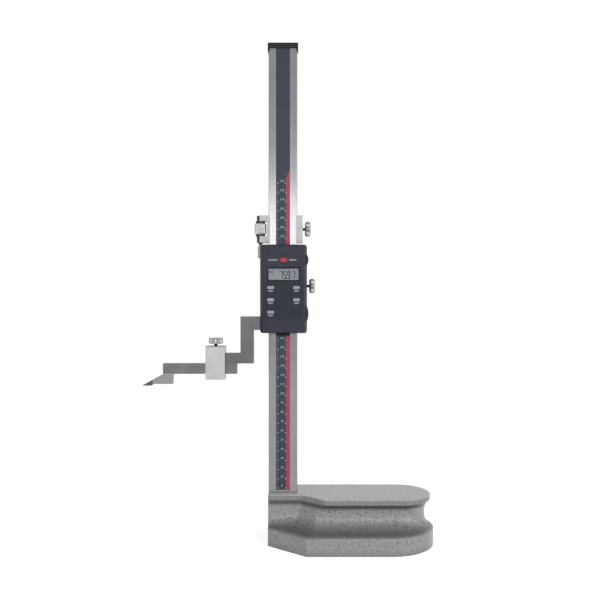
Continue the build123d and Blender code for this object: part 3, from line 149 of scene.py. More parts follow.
def hammerPaintOnCasting():
    # Cast iron under hammer paint, cast in sand and sprayed: it gives the eye a rough specked
    # grey in the groove, a calmer one on the flange and a smooth satin top, with bare ground
    # iron underneath. The specks are drawn twice as coarse as real ones so that they show.
    # Painted shade darkens the groove's foot, the area under the lip and every corner.
    paint = castingPaint
    material, tree, shader, place = startMaterial("hammerPaintOnCasting",
                                                  {"Coat Weight": paint["clearCoat"]})
    height = addNode(tree, "ShaderNodeSeparateXYZ", {}, {0: place}).outputs["Z"]
    cloud = addNode(tree, "ShaderNodeTexNoise",
                    {"Scale": 1 / (paint["cloudMm"] * mm), "Detail": 3.0}, {"Vector": place})
    grain = addNode(tree, "ShaderNodeTexNoise",
                    {"Scale": 1 / (paint["grainMm"] * mm), "Detail": 3.0, "Roughness": 0.6,
                     "Distortion": 0.6}, {"Vector": place})

    # how rough: most in the groove, and more in some patches than in others
    begins, full, fullStill, ends = [level * mm for level in paint["grooveMm"]]
    rising = addNode(tree, "ShaderNodeMapRange",
                     {fromLow: begins, fromHigh: full, toLow: paint["flangeRough"]}, {0: height})
    falling = addNode(tree, "ShaderNodeMapRange",
                      {fromLow: fullStill, fromHigh: ends, toLow: 1.0, toHigh: paint["lipRough"]},
                      {0: height})
    rough = addNode(tree, "ShaderNodeMath", {}, {0: rising, 1: falling}, operation="MINIMUM")
    patchy = addNode(tree, "ShaderNodeMapRange",
                     {fromLow: 0.35, fromHigh: 0.65, toLow: paint["calmestPatch"]}, {0: cloud})
    amount = addNode(tree, "ShaderNodeMath", {}, {0: rough, 1: patchy}, operation="MULTIPLY")

    # light flecks and dark specks in the paint
    fleck = addNode(tree, "ShaderNodeMapRange",
                    {fromLow: paint["fleckFrom"], fromHigh: paint["fleckFull"],
                     toHigh: paint["fleckShare"]}, {0: grain})
    fleck = addNode(tree, "ShaderNodeMath", {}, {0: fleck, 1: amount}, operation="MULTIPLY")
    colour = addNode(tree, "ShaderNodeMix",
                     {colourA: linear(paint["paint"]), colourB: linear(paint["fleck"])},
                     {mixShare: fleck}, data_type="RGBA")
    speck = addNode(tree, "ShaderNodeMapRange",
                    {fromLow: paint["speckFrom"], fromHigh: paint["speckFull"]}, {0: grain})
    speck = addNode(tree, "ShaderNodeMath", {}, {0: speck, 1: amount}, operation="MULTIPLY")
    colour = addNode(tree, "ShaderNodeMix", {colourB: linear(paint["speck"])},
                     {mixShare: speck, colourA: colour}, data_type="RGBA")

    # painted shade: darker on the groove's foot, under the lip and in every corner, where shade
    # falls
    begins, full, wipedAndShadeFade = [level * mm for level in paint["footShadeMm"]]
    rising = addNode(tree, "ShaderNodeMapRange",
                     {fromLow: begins, fromHigh: full, toHigh: paint["footShade"]}, {0: height})
    falling = addNode(tree, "ShaderNodeMapRange",
                      {fromLow: full, fromHigh: wipedAndShadeFade, toLow: paint["footShade"], toHigh: 0.0},
                      {0: height})
    low = addNode(tree, "ShaderNodeMath", {}, {0: rising, 1: falling}, operation="MINIMUM")
    begins, full, fullStill, thinner = [level * mm for level in paint["lipShadeMm"]]
    rising = addNode(tree, "ShaderNodeMapRange", {fromLow: begins, fromHigh: full}, {0: height})
    falling = addNode(tree, "ShaderNodeMapRange",
                      {fromLow: fullStill, fromHigh: thinner, toLow: 1.0,
                       toHigh: paint["lipRimShade"]}, {0: height})
    high = addNode(tree, "ShaderNodeMath", {}, {0: rising, 1: falling}, operation="MINIMUM")
    corner = addNode(tree, "ShaderNodeAmbientOcclusion", {"Distance": paint["cornerMm"] * mm},
                     samples=paint["cornerSamples"]).outputs["AO"]
    cornerShadeShare = addNode(tree, "ShaderNodeMapRange",
                      {fromLow: 0.8, fromHigh: 0.35, toHigh: paint["cornerShade"]}, {0: corner})
    paintedShadeShare = addNode(tree, "ShaderNodeMath", {}, {0: low, 1: high}, operation="MAXIMUM")
    paintedShadeShare = addNode(tree, "ShaderNodeMath", {}, {0: paintedShadeShare, 1: cornerShadeShare}, operation="MAXIMUM")
    colour = addNode(tree, "ShaderNodeMix", {colourB: linear(paint["paintedShade"])},
                     {mixShare: paintedShadeShare, colourA: colour}, data_type="RGBA")

    # the smooth top, paler partly for its satin paint and partly as painted sheen, and the sole
    # that was ground bare
    onTop = addNode(tree, "ShaderNodeMapRange",
                    {fromLow: (paint["topLevelMm"] - paint["topBlendMm"]) * mm,
                     fromHigh: (paint["topLevelMm"] + paint["topBlendMm"]) * mm}, {0: height})
    top = addNode(tree, "ShaderNodeMix",
                  {colourA: linear(paint["top"]), colourB: linear(paint["topWorn"])},
                  {mixShare: cloud}, data_type="RGBA")
    sparse = addNode(tree, "ShaderNodeMapRange",
                     {fromLow: paint["topSpeckFrom"], fromHigh: paint["speckFull"],
                      toHigh: paint["topSpeckShare"]}, {0: grain})
    top = addNode(tree, "ShaderNodeMix", {colourB: linear(paint["speck"])},
                  {mixShare: sparse, colourA: top}, data_type="RGBA")
    colour = addNode(tree, "ShaderNodeMix", {}, {mixShare: onTop, colourA: colour, colourB: top},
                     data_type="RGBA")
    onSole = addNode(tree, "ShaderNodeMapRange",
                     {fromLow: paint["soleLevelMm"] * mm,
                      fromHigh: (paint["soleLevelMm"] - paint["soleBlendMm"]) * mm},
                     {0: height})
    colour = addNode(tree, "ShaderNodeMix", {colourB: linear(paint["iron"])},
                     {mixShare: onSole, colourA: colour}, data_type="RGBA")
    tree.links.new(colour.outputs[mixedColour], shader.inputs["Base Color"])
    tree.links.new(onSole.outputs[0], shader.inputs["Metallic"])

    glossy, dull = paint["gloss"]
    gloss = addNode(tree, "ShaderNodeMapRange",
                    {fromLow: 0.3, fromHigh: 0.7, toLow: glossy, toHigh: dull}, {0: grain})
    tree.links.new(gloss.outputs[0], shader.inputs["Roughness"])
    calm = addNode(tree, "ShaderNodeMapRange", {toLow: -1.0, toHigh: -paint["topRelief"]},
                   {0: onTop})
    relief = addNode(tree, "ShaderNodeMath", {}, {0: grain, 1: calm}, operation="MULTIPLY")
    relief = addNode(tree, "ShaderNodeMath", {}, {0: relief, 1: rough}, operation="MULTIPLY")
    finishSurface(tree, shader, relief, paint["reliefMm"], paint["edgeMm"])
    return material


def workedMetal(name, pale, dark, grainMm, roughness, cloudShare=0.5, edge="", edgeMm=0.3,
                reliefMm=0.004, bands=()):
    # Bare or plated metal: its tool marks show as fine light and dark streaks, its stains as
    # soft clouds, and its rubbed edges as a brighter line. grainMm is the size of one mark
    # along x, y and z, coarser than a real one on broad faces so that it shows. A band is a
    # stretch of the piece in another finish: (axis, from, to, colour).
    cloudMm = 16.0
    polishSpread = 0.06
    material, tree, shader, place = startMaterial(name, {"Metallic": 1.0})
    counted = addNode(tree, "ShaderNodeMapping", {"Scale": [1 / (size * mm) for size in grainMm]},
                      {"Vector": place})
    marks = addNode(tree, "ShaderNodeTexNoise", {"Scale": 1.0, "Detail": 4.0, "Roughness": 0.6},
                    {"Vector": counted})
    cloud = addNode(tree, "ShaderNodeTexNoise", {"Scale": 1 / (cloudMm * mm), "Detail": 2.0},
                    {"Vector": place})
    tone = addNode(tree, "ShaderNodeMix", {mixShare: cloudShare},
                   {numberA: marks, numberB: cloud}, data_type="FLOAT")
    share = addNode(tree, "ShaderNodeMapRange", {fromLow: 0.32, fromHigh: 0.68}, {0: tone})
    colour = addNode(tree, "ShaderNodeMix", {colourA: linear(pale), colourB: linear(dark)},
                     {mixShare: share}, data_type="RGBA")
    if edge:
        colour = addNode(tree, "ShaderNodeMix", {colourB: linear(edge)},
                         {mixShare: rubbedEdge(tree, edgeMm), colourA: colour}, data_type="RGBA")
    for axis, begins, ends, code in bands:
        along = addNode(tree, "ShaderNodeSeparateXYZ", {}, {0: place}).outputs[axis]
        # 1 within half the band's length of its middle
        onBand = addNode(tree, "ShaderNodeMath",
                         {1: (begins + ends) / 2, 2: (ends - begins) / 2}, {0: along},
                         operation="COMPARE")
        colour = addNode(tree, "ShaderNodeMix", {colourB: linear(code)},
                         {mixShare: onBand, colourA: colour}, data_type="RGBA")
    tree.links.new(colour.outputs[mixedColour], shader.inputs["Base Color"])
    polish = addNode(tree, "ShaderNodeMapRange",
                     {fromLow: 0.25, fromHigh: 0.75, toLow: roughness - polishSpread,
                      toHigh: roughness + polishSpread}, {0: marks})
    tree.links.new(polish.outputs[0], shader.inputs["Roughness"])
    finishSurface(tree, shader, marks, reliefMm, edgeMm)
    return material


def mouldedSkin(name, pale, dark, roughness, pebbleMm=0.4, reliefMm=0.012, edge="",
                specular=0.5):
    # Moulded plastic, rubber or film: the mould's fine even pebble breaks up its gloss, and
    # edges that are handled are a little paler.
    cloudMm = 18.0
    rubbedMm, edgeMm = 0.35, 0.3
    polishSpread = 0.05
    material, tree, shader, place = startMaterial(name, {"Specular IOR Level": specular})
    pebble = addNode(tree, "ShaderNodeTexNoise", {"Scale": 1 / (pebbleMm * mm), "Detail": 2.0},
                     {"Vector": place})
    cloud = addNode(tree, "ShaderNodeTexNoise", {"Scale": 1 / (cloudMm * mm), "Detail": 2.0},
                    {"Vector": place})
    share = addNode(tree, "ShaderNodeMapRange", {fromLow: 0.3, fromHigh: 0.7}, {0: cloud})
    colour = addNode(tree, "ShaderNodeMix", {colourA: linear(pale), colourB: linear(dark)},
                     {mixShare: share}, data_type="RGBA")
    if edge:
        colour = addNode(tree, "ShaderNodeMix", {colourB: linear(edge)},
                         {mixShare: rubbedEdge(tree, rubbedMm), colourA: colour},
                         data_type="RGBA")
    tree.links.new(colour.outputs[mixedColour], shader.inputs["Base Color"])
    polish = addNode(tree, "ShaderNodeMapRange",
                     {fromLow: 0.3, fromHigh: 0.7, toLow: roughness - polishSpread,
                      toHigh: roughness + polishSpread}, {0: pebble})
    tree.links.new(polish.outputs[0], shader.inputs["Roughness"])
    finishSurface(tree, shader, pebble, reliefMm, edgeMm)
    return material


def clearAcrylic():
    # Cast acrylic sheet: a thin clear pane that shows only as a faint veil and a sharp gloss,
    # duller where it was wiped.
    smearMm = 5.0
    material, tree, shader, place = startMaterial("clearAcrylic", {
        "Base Color": linear("6f7278"), "IOR": 1.49, "Alpha": 0.04})
    smear = addNode(tree, "ShaderNodeTexNoise", {"Scale": 1 / (smearMm * mm), "Detail": 3.0},
                    {"Vector": place})
    wipedAndShadeFade = addNode(tree, "ShaderNodeMapRange",
                    {fromLow: 0.35, fromHigh: 0.7, toLow: 0.04, toHigh: 0.12}, {0: smear})
    tree.links.new(wipedAndShadeFade.outputs[0], shader.inputs["Roughness"])
    return material


def printedInk(name, code, worn, roughness=0.5):
    # Screen-printed ink: flat matt colour, thinner where the film under it is rough. The
    # pinholes are drawn coarser than real ones so that they show.
    pinholeMm = 0.5
    material, tree, shader, place = startMaterial(name, {"Roughness": roughness})
    pinholes = addNode(tree, "ShaderNodeTexNoise",
                       {"Scale": 1 / (pinholeMm * mm), "Detail": 3.0, "Roughness": 0.65},
                       {"Vector": place})
    share = addNode(tree, "ShaderNodeMapRange", {fromLow: 0.55, fromHigh: 0.8, toHigh: 0.7},
                    {0: pinholes})
    colour = addNode(tree, "ShaderNodeMix", {colourA: linear(code), colourB: linear(worn)},
                     {mixShare: share}, data_type="RGBA")
    tree.links.new(colour.outputs[mixedColour], shader.inputs["Base Color"])
    bump = addNode(tree, "ShaderNodeBump", {"Strength": 0.4, "Distance": 0.01 * mm},
                   {"Height": pinholes})
    tree.links.new(bump.outputs[0], shader.inputs["Normal"])
    return material


def crystalPanel():
    # Reflective twisted-nematic panel, a grey polariser over foil: a flat cool grey, with painted
    # shade making it a little darker towards its top, and the foil's fine glint.
    foilMm = 0.3
    material, tree, shader, place = startMaterial("crystalPanel", {
        "Specular IOR Level": 0.3, "Roughness": 0.4})
    foil = addNode(tree, "ShaderNodeTexNoise", {"Scale": 1 / (foilMm * mm), "Detail": 2.0},
                   {"Vector": place})
    height = addNode(tree, "ShaderNodeSeparateXYZ", {}, {0: place}).outputs["Z"]
    low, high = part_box("lcd_panel")
    # painted shade: the grey darkens towards the panel's top
    topShade = addNode(tree, "ShaderNodeMapRange", {fromLow: low.z, fromHigh: high.z}, {0: height})
    tone = addNode(tree, "ShaderNodeMix", {colourA: linear("9fa2a9"), colourB: linear("8e929c")},
                   {mixShare: topShade}, data_type="RGBA")
    glint = addNode(tree, "ShaderNodeMapRange", {fromLow: 0.35, fromHigh: 0.65, toHigh: 0.2},
                    {0: foil})
    colour = addNode(tree, "ShaderNodeMix", {colourB: linear("b0b3b9")},
                     {mixShare: glint, colourA: tone}, data_type="RGBA")
    tree.links.new(colour.outputs[mixedColour], shader.inputs["Base Color"])
    return material


def boardLaminate():
    # Glass-fibre laminate under green solder mask: a faint weave under a satin green film.
    strandMm = 5.03            # about six times a real one, so that it shows
    radiansPerUnit = 20        # what a Wave texture turns through in one unit of its place
    material, tree, shader, place = startMaterial("boardLaminate", {
        "Roughness": 0.35, "Coat Weight": 0.3})
    strands = [addNode(tree, "ShaderNodeTexWave",
                       {"Scale": 2 * math.pi / radiansPerUnit / (strandMm * mm),
                        "Distortion": 0.6},
                       {"Vector": place}, bands_direction=axis) for axis in "XZ"]
    weave = addNode(tree, "ShaderNodeMath", {},
                    {0: strands[0].outputs["Fac"], 1: strands[1].outputs["Fac"]},
                    operation="MULTIPLY")
    colour = addNode(tree, "ShaderNodeMix",
                     {colourA: linear("24523a"), colourB: linear("35694c")},
                     {mixShare: weave}, data_type="RGBA")
    tree.links.new(colour.outputs[mixedColour], shader.inputs["Base Color"])
    finishSurface(tree, shader, weave, depthMm=0.01, edgeMm=0.1)
    return material


def enamelRed():
    # Domed plate in clear red enamel: a soft bright red, darkened to dark red at its rim by
    # painted shade.
    swirlMm = 1.5
    material, tree, shader, place = startMaterial("enamelRed", {
        "Roughness": 0.4, "Specular IOR Level": 0.3})
    low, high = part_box("badge")
    middle, size = (low + high) / 2, high - low
    centred = addNode(tree, "ShaderNodeMapping",
                      {"Location": [-2 * middle.x / size.x, 0, -2 * middle.z / size.z],
                       "Scale": [2 / size.x, 0, 2 / size.z]}, {"Vector": place})
    reach = addNode(tree, "ShaderNodeVectorMath", {}, {0: centred},
                    operation="LENGTH").outputs["Value"]
    swirl = addNode(tree, "ShaderNodeTexNoise", {"Scale": 1 / (swirlMm * mm), "Detail": 2.0},
                    {"Vector": place})
    core = addNode(tree, "ShaderNodeMix", {colourA: linear("c04c5a"), colourB: linear("a63646")},
                   {mixShare: swirl}, data_type="RGBA")
    # painted shade: the dome darkens towards its rim
    rimShade = addNode(tree, "ShaderNodeMapRange", {fromLow: 0.5, fromHigh: 0.95}, {0: reach})
    colour = addNode(tree, "ShaderNodeMix", {colourB: linear("74101e")},
                     {mixShare: rimShade, colourA: core}, data_type="RGBA")
    tree.links.new(colour.outputs[mixedColour], shader.inputs["Base Color"])
    finishSurface(tree, shader, swirl, depthMm=0.003, edgeMm=0.4)
    return material


# stretches of one piece that are finished in another way
pieceBands = {
    "headMm": 6.4,             # a lock screw's head, along the axis it turns about
    "stem": "2c2d2f",
    "collarMm": 2.1,           # a nut's plain collars
    # the collars' darker grey is painted shade on the nut's chamfered ends
    "collar": "4d4e50",
    "lugMm": 12.45,            # the slider's lug, from its top
    # the lug's paler grey is painted light on the same tool steel
    "lug": "808081",
    "blockMm": 6.4,            # the scriber's lower block, above the clamp's underside
    "block": "8c8c8d",
}


def stemBand(node, axis):
    low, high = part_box(node)
    return axis, low[axis] - mm, high[axis] - pieceBands["headMm"] * mm, pieceBands["stem"]


def collarBands(node):
    low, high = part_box(node)
    collar = pieceBands["collarMm"] * mm
    return [(axisZ, low.z - mm, low.z + collar, pieceBands["collar"]),
            (axisZ, high.z - collar, high.z + mm, pieceBands["collar"])]


def lugBand():
    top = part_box("slider_frame")[1].z
    return axisZ, top - pieceBands["lugMm"] * mm, top + mm, pieceBands["lug"]


def blockBand():
    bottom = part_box("scriber_bar")[0].z
    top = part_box("scriber_clamp")[0].z + pieceBands["blockMm"] * mm
    return axisZ, bottom - mm, top, pieceBands["block"]


def lockScrewFinish(node, axis):
    # bright nickel plate on a turned star head, softened by handling, over a black stem
    return workedMetal("nickelHeadOnBlackStem_" + node, "c2c2c2", "aeaeaf", [2.5, 2.5, 2.5], 0.5,
                       edge="cdcdcd", reliefMm=0.002, bands=[stemBand(node, axis)])


print("painting the CAD nodes")
slotFinishes = {
    "painted_casting": hammerPaintOnCasting(),
    # ground stainless bar: a soft mirror, drawn out by long fine scratches up the column
    "column_steel": workedMetal("groundStainless", "929293", "8a8a8c", [0.3, 0.3, 60.0], 0.2,
                                reliefMm=0.0015),
    # matt polyester film over the scale's grid: flat slate blue with a dull sheen
    "scale_film": mouldedSkin("mattPolyesterFilm", "2a3348", "252d40", 0.5, pebbleMm=0.5,
                              reliefMm=0.004),
    # moulded nylon: near black, a soft sheen and paler handled edges
    "black_plastic": mouldedSkin("mouldedNylon", "18191b", "131416", 0.45, edge="26282b",
                                 specular=0.35),
    # black oxide on turned screws: an oily dark satin
    "black_screw_steel": workedMetal("blackOxideSteel", "34363a", "202226", [0.4, 0.4, 0.4], 0.38,
                                     edge="5c5e62"),
    # bright turned steel: fine rings round each screw and pin
    "screw_steel": workedMetal("turnedBrightSteel", "b4b4b4", "8b8c8e", [0.5, 0.5, 0.12], 0.26,
                               edge="d8d8d8"),
    # ground tool steel, left unplated: dark grey with long grinding marks
    "slider_steel": workedMetal("groundToolSteel", "666667", "58585a", [9.0, 9.0, 0.6], 0.36,
                                cloudShare=0.6, edge="8c8c8c"),
    # drawn phosphor bronze: a warm brown with marks along the strip
    "gib_bronze": workedMetal("phosphorBronze", "b08a4c", "8a6a38", [0.4, 0.4, 12.0], 0.34),
    # moulded nitrile rubber: dull black that hardly shines
    "wiper_rubber": mouldedSkin("mouldedNitrileRubber", "111214", "0b0c0d", 0.7, pebbleMm=0.25,
                                specular=0.3),
    # ABS with a spark-eroded texture: blue-black, evenly matt, paler along its bevel
    "housing_plastic": mouldedSkin("sparkTexturedHousing", "262939", "212432", 0.46,
                                   edge="3a3b44", specular=0.35),
    "board_laminate": boardLaminate(),
    # polished styrene bezel: deep smooth black round the display
    "bezel_plastic": mouldedSkin("glossBlackStyrene", "08090b", "060708", 0.3, pebbleMm=3.0,
                                 reliefMm=0.002, specular=0.12),
    "window_plastic": clearAcrylic(),
    "lcd_grey": crystalPanel(),
    # moulded silicone: milky grey and dull
    "connector_rubber": mouldedSkin("siliconeRubber", "8f9298", "7f8288", 0.62, pebbleMm=0.3,
                                    specular=0.35),
    "badge_red": enamelRed(),
    # stamped brass strip: bright yellow with rolling marks
    "contact_brass": workedMetal("stampedBrass", "cfae68", "a88744", [0.3, 0.3, 3.0], 0.28),
    # moulded ABS keys: pale cool grey, worn paler at their edges
    "key_plastic": mouldedSkin("mouldedGreyKey", "a3a6ae", "989ba4", 0.4, pebbleMm=0.3,
                               edge="b4b7be"),
    # drawn nickel-plated can: bright, with faint drawing rings
    "cell_steel": workedMetal("drawnNickelSteel", "d0d1d3", "b4b5b8", [0.4, 3.0, 0.4], 0.2),
    # moulded soft rubber: dark and dull beside the housing
    "port_rubber": mouldedSkin("softPortRubber", "2b2c33", "25262c", 0.6, pebbleMm=0.25,
                               specular=0.35),
    # turned brass pads: yellow with fine turning marks
    "pad_brass": workedMetal("turnedBrass", "bf9b55", "94743a", [0.25, 0.25, 0.25], 0.3),
    # satin chrome on milled blocks: a pale even sheen
    "satin_steel": workedMetal("satinChromePlate", "b6b6b6", "a8a8a8", [3.0, 3.0, 0.5], 0.42,
                               edge="c8c8c8"),
    # ground tungsten carbide: a darker, bluer grey than the steel it is brazed to
    "tungsten_carbide": workedMetal("groundCarbide", "606164", "4a4b4e", [0.5, 0.5, 0.5], 0.34,
                                    edge="7a7b7e"),
}
# pieces that have a finish of their own
nodeFinishes = {
    # bead-blasted satin chrome: pale and nearly matt, with a fine stipple
    "carriage_frame": workedMetal("beadBlastedSatinChrome", "bbbbbb", "aaaaaa", [0.9, 0.9, 0.9],
                                  0.55, edge="c8c8c8", reliefMm=0.012),
    # the same tool steel, its lug painted paler above the dark arm as painted light
    "slider_frame": workedMetal("groundToolSteelWithPaintedLightLug", "6a6a6b", "5c5c5e",
                                [9.0, 9.0, 0.6], 0.36, cloudShare=0.6, edge="8c8c8c",
                                bands=[lugBand()]),
    # hardened steel, ground along its length, its lower block left brighter
    "scriber_bar": workedMetal("hardenedGroundScriber", "757576", "626264", [14.0, 14.0, 0.5],
                               0.36, edge="9a9a9a", bands=[blockBand()]),
    # nickel-plated knurl between two collars painted darker, as painted shade on their chamfers
    "fine_adjust_nut": workedMetal("nickelNutWithPaintedShadeCollars", "cacaca", "b6b6b7",
                                   [2.5, 2.5, 2.5], 0.44, edge="c4c4c4", reliefMm=0.002,
                                   bands=collarBands("fine_adjust_nut")),
    "slider_lock_screw": lockScrewFinish("slider_lock_screw", axisX),
    "carriage_lock_screw": lockScrewFinish("carriage_lock_screw", axisX),
    "scriber_clamp_screw": lockScrewFinish("scriber_clamp_screw", axisZ),
}
for subpart in frame["record"]["subparts"]:
    name = subpart["node"]
    finish = nodeFinishes.get(name) or slotFinishes[subpart["material_slot"]]
    nodes[name].data.materials.clear()
    nodes[name].data.materials.append(finish)

# finishes of the pieces made here: screen-printed inks in pale bluish white, carmine and a
# quiet grey, and switched-on liquid crystal, which is flat and nearly black as ink is
inkWhite = printedInk("paleScaleInk", "b6bcc6", "858b99")
inkRed = printedInk("redScaleInk", "a5384d", "8e3040", 0.45)
inkHousing = printedInk("paleHousingInk", "8b8e97", "6f727b")
inkCrystal = printedInk("darkCrystalSegment", "15171b", "202328")
# black oxide worn grey on the crests of the thread
threadSteel = workedMetal("blackOxideThread", "6a6b6d", "3a3b3e", [1.5, 1.5, 1.5], 0.42,
                          edge="a0a1a3", edgeMm=0.15)
# satin polyester label: a shade flatter than the housing it lies on
labelFilm = mouldedSkin("satinLabelFilm", "272a36", "232631", 0.45, pebbleMm=0.6,
                        reliefMm=0.003, specular=0.25)


def deselectAll():
    if bpy.context.object and bpy.context.object.mode != "OBJECT":
        bpy.ops.object.mode_set(mode="OBJECT")
    bpy.ops.object.select_all(action="DESELECT")


def takeUp(piece):
    deselectAll()
    piece.select_set(True)
    bpy.context.view_layer.objects.active = piece


def settle(piece):
    # its place goes into its mesh, so the object itself sits at the origin
    takeUp(piece)
    bpy.ops.object.transform_apply(location=True, rotation=True, scale=True)
    return piece


def joined(pieces, name):
    deselectAll()
    for piece in pieces:
        piece.select_set(True)
    bpy.context.view_layer.objects.active = pieces[0]
    bpy.ops.object.join()
    piece = bpy.context.object
    piece.name = piece.data.name = name
    return piece


def finished(piece, material, body):
    piece.data.materials.clear()
    piece.data.materials.append(material)
    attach(piece, body)


def cutOrMeet(piece, tool, operation):
    # a boolean with a tool that is then thrown away
    takeUp(piece)
    change = piece.modifiers.new("shape", "BOOLEAN")
    change.object = tool
    change.operation = operation
    change.solver = "EXACT"
    bpy.ops.object.modifier_apply(modifier=change.name)
    bpy.data.objects.remove(tool)


def slab(name, low, high):
    deselectAll()
    bpy.ops.mesh.primitive_cube_add(size=1, location=(Vector(low) + Vector(high)) / 2)
    bar = bpy.context.object
    bar.name = name
    bar.scale = Vector(high) - Vector(low)
    return settle(bar)


def breakEdges(piece, chosen, reach, segments=1):
    # bevels the edges whose two ends pass the test
    takeUp(piece)
    points = piece.data.vertices
    for vertex in points:
        vertex.select = False
    for face in piece.data.polygons:
        face.select = False
    for edge in piece.data.edges:
        edge.select = chosen(points[edge.vertices[0]].co, points[edge.vertices[1]].co)
    # edit mode keeps selected edges only where it opens in edge select
    bpy.context.tool_settings.mesh_select_mode = (False, True, False)
    bpy.ops.object.mode_set(mode="EDIT")
    bpy.ops.mesh.bevel(offset=reach, segments=segments, affect="EDGES")
    bpy.ops.object.mode_set(mode="OBJECT")
    bpy.context.tool_settings.mesh_select_mode = (True, False, False)


def roundCorners(piece, reach, segments=4):
    # rounds the edges that run along Y
    close = 0.0001 * mm
    breakEdges(piece, lambda a, b: abs(a.x - b.x) < close and abs(a.z - b.z) < close,
               reach, segments)


def copied(piece, shift):
    twin = piece.copy()
    twin.data = piece.data.copy()
    bpy.context.collection.objects.link(twin)
    for vertex in twin.data.vertices:
        vertex.co += Vector(shift)
    return twin


def lettered(text, height, place, thickness, bold=0.0):
    # upright text that faces -Y, centred on place
    deselectAll()
    bpy.ops.object.text_add(location=(0, 0, 0))
    words = bpy.context.object
    words.data.body = text
    words.data.align_x = "CENTER"
    words.data.align_y = "CENTER"
    words.data.size = height
    words.data.extrude = thickness / 2
    words.data.offset = bold
    words.data.resolution_u = 3          # enough for letters this small
    bpy.ops.object.convert(target="MESH")
    words = bpy.context.object
    words.rotation_euler = (math.pi / 2, 0, 0)
    words.location = place
    return settle(words)


scalePrint = {
    "zeroMm": 5.4,                   # above the base's top
    "lastMm": 330,
    "stepMm": 10,
    "figureMm": 3.3,                 # font size, figures are 0.72 of it
    "figureXMm": -0.9,
    "figureLiftMm": 2.3,             # above its mark
    "leftMarkXMm": (-6.0, -4.6),
    "rightMarkXMm": (2.2, 3.8),
    "markMm": 0.75,
    "markCornerMm": 0.12,
    "markInkMm": 0.032,              # thicker than the rest, so it lies over the stripe
    "fineXMm": (-6.5, -5.9),
    "fineMm": 0.22,
    "fineCornerMm": 0.055,
    "inkMm": 0.02,
    "redXMm": (3.2, 7.48),
    "redFootMm": 0.1,                # above the strip's foot
    "redTopMm": 404.0,
    "redShoulderMm": 394.0,
}


def printScale():
    size = scalePrint
    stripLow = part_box("scale_strip")[0]
    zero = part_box("base_casting")[1].z + size["zeroMm"] * mm
    front = stripLow.y
    ink = size["inkMm"] * mm

    figures = []
    for reading in range(0, size["lastMm"] + 1, size["stepMm"]):
        level = zero + (reading + size["figureLiftMm"]) * mm
        figures.append(lettered(str(reading), size["figureMm"] * mm,
                                (size["figureXMm"] * mm, front - ink / 2, level), ink))
    finished(joined(figures, "scaleFigures"), inkWhite, "base")

    marks = []
    half = size["markMm"] * mm / 2
    for ends in (size["leftMarkXMm"], size["rightMarkXMm"]):
        first = slab("mark", (ends[0] * mm, front - size["markInkMm"] * mm, zero - half),
                     (ends[1] * mm, front, zero + half))
        roundCorners(first, size["markCornerMm"] * mm, 2)
        marks.append(first)
        marks += [copied(first, (0, 0, reading * mm))
                  for reading in range(size["stepMm"], size["lastMm"] + 1, size["stepMm"])]
    half = size["fineMm"] * mm / 2
    left, right = [x * mm for x in size["fineXMm"]]
    fine = slab("fineMark", (left, front - ink, zero - half), (right, front, zero + half))
    roundCorners(fine, size["fineCornerMm"] * mm, 1)
    marks.append(fine)
    marks += [copied(fine, (0, 0, reading * mm))
              for reading in range(1, size["lastMm"] + 1) if reading % size["stepMm"]]
    finished(joined(marks, "scaleMarks"), inkWhite, "base")

    # the red stripe ends in a slanted point
    left, right = [x * mm for x in size["redXMm"]]
    bottom = stripLow.z + size["redFootMm"] * mm
    stripe = slab("scaleStripe", (left, front - ink, bottom),
                  (right, front, size["redTopMm"] * mm))
    for vertex in stripe.data.vertices:
        if vertex.co.z > bottom + mm and vertex.co.x < (left + right) / 2:
            vertex.co.z = size["redShoulderMm"] * mm
    finished(stripe, inkRed, "base")


print("printing the scale")
printScale()

crystal = {
    "reading": "75.97",
    "digitMm": 8.5,
    "widthMm": 3.5,
    "strokeMm": 1.05,
    "tipMm": 0.4725,                       # a bar's pointed ends
    "gapMm": 0.06,
    "thickMm": 0.03,
    "slantDeg": 6.0,
    "centresMm": (-3.1, 0.9, 4.9, 10.0),   # from the opening's centre
    "pointXMm": 3.0,
    "baseMm": -4.5,
    "unit": "mm",
    "unitMm": 3.1,
    "unitBoldMm": 0.11,
    "unitAtMm": (-12.8, 2.6),
}
segmentsOf = {"0": "abcdef", "1": "bc", "2": "abdeg", "3": "abcdg", "4": "bcfg",
              "5": "afgcd", "6": "acdefg", "7": "abc", "8": "abcdefg", "9": "abcdfg"}


def segmentBar(horizontal, length, stroke, thick):
    # one crystal segment: a bar with two pointed ends, made about the origin
    bar = slab("segment", (-stroke / 2, -thick / 2, -length / 2),
               (stroke / 2, thick / 2, length / 2))
    roundCorners(bar, crystal["tipMm"] * mm, 1)
    if horizontal:
        bpy.ops.object.mode_set(mode="EDIT")
        bpy.ops.mesh.select_all(action="SELECT")
        bpy.ops.transform.rotate(value=math.pi / 2, orient_axis="Y", center_override=(0, 0, 0))
        bpy.ops.object.mode_set(mode="OBJECT")
    return bar


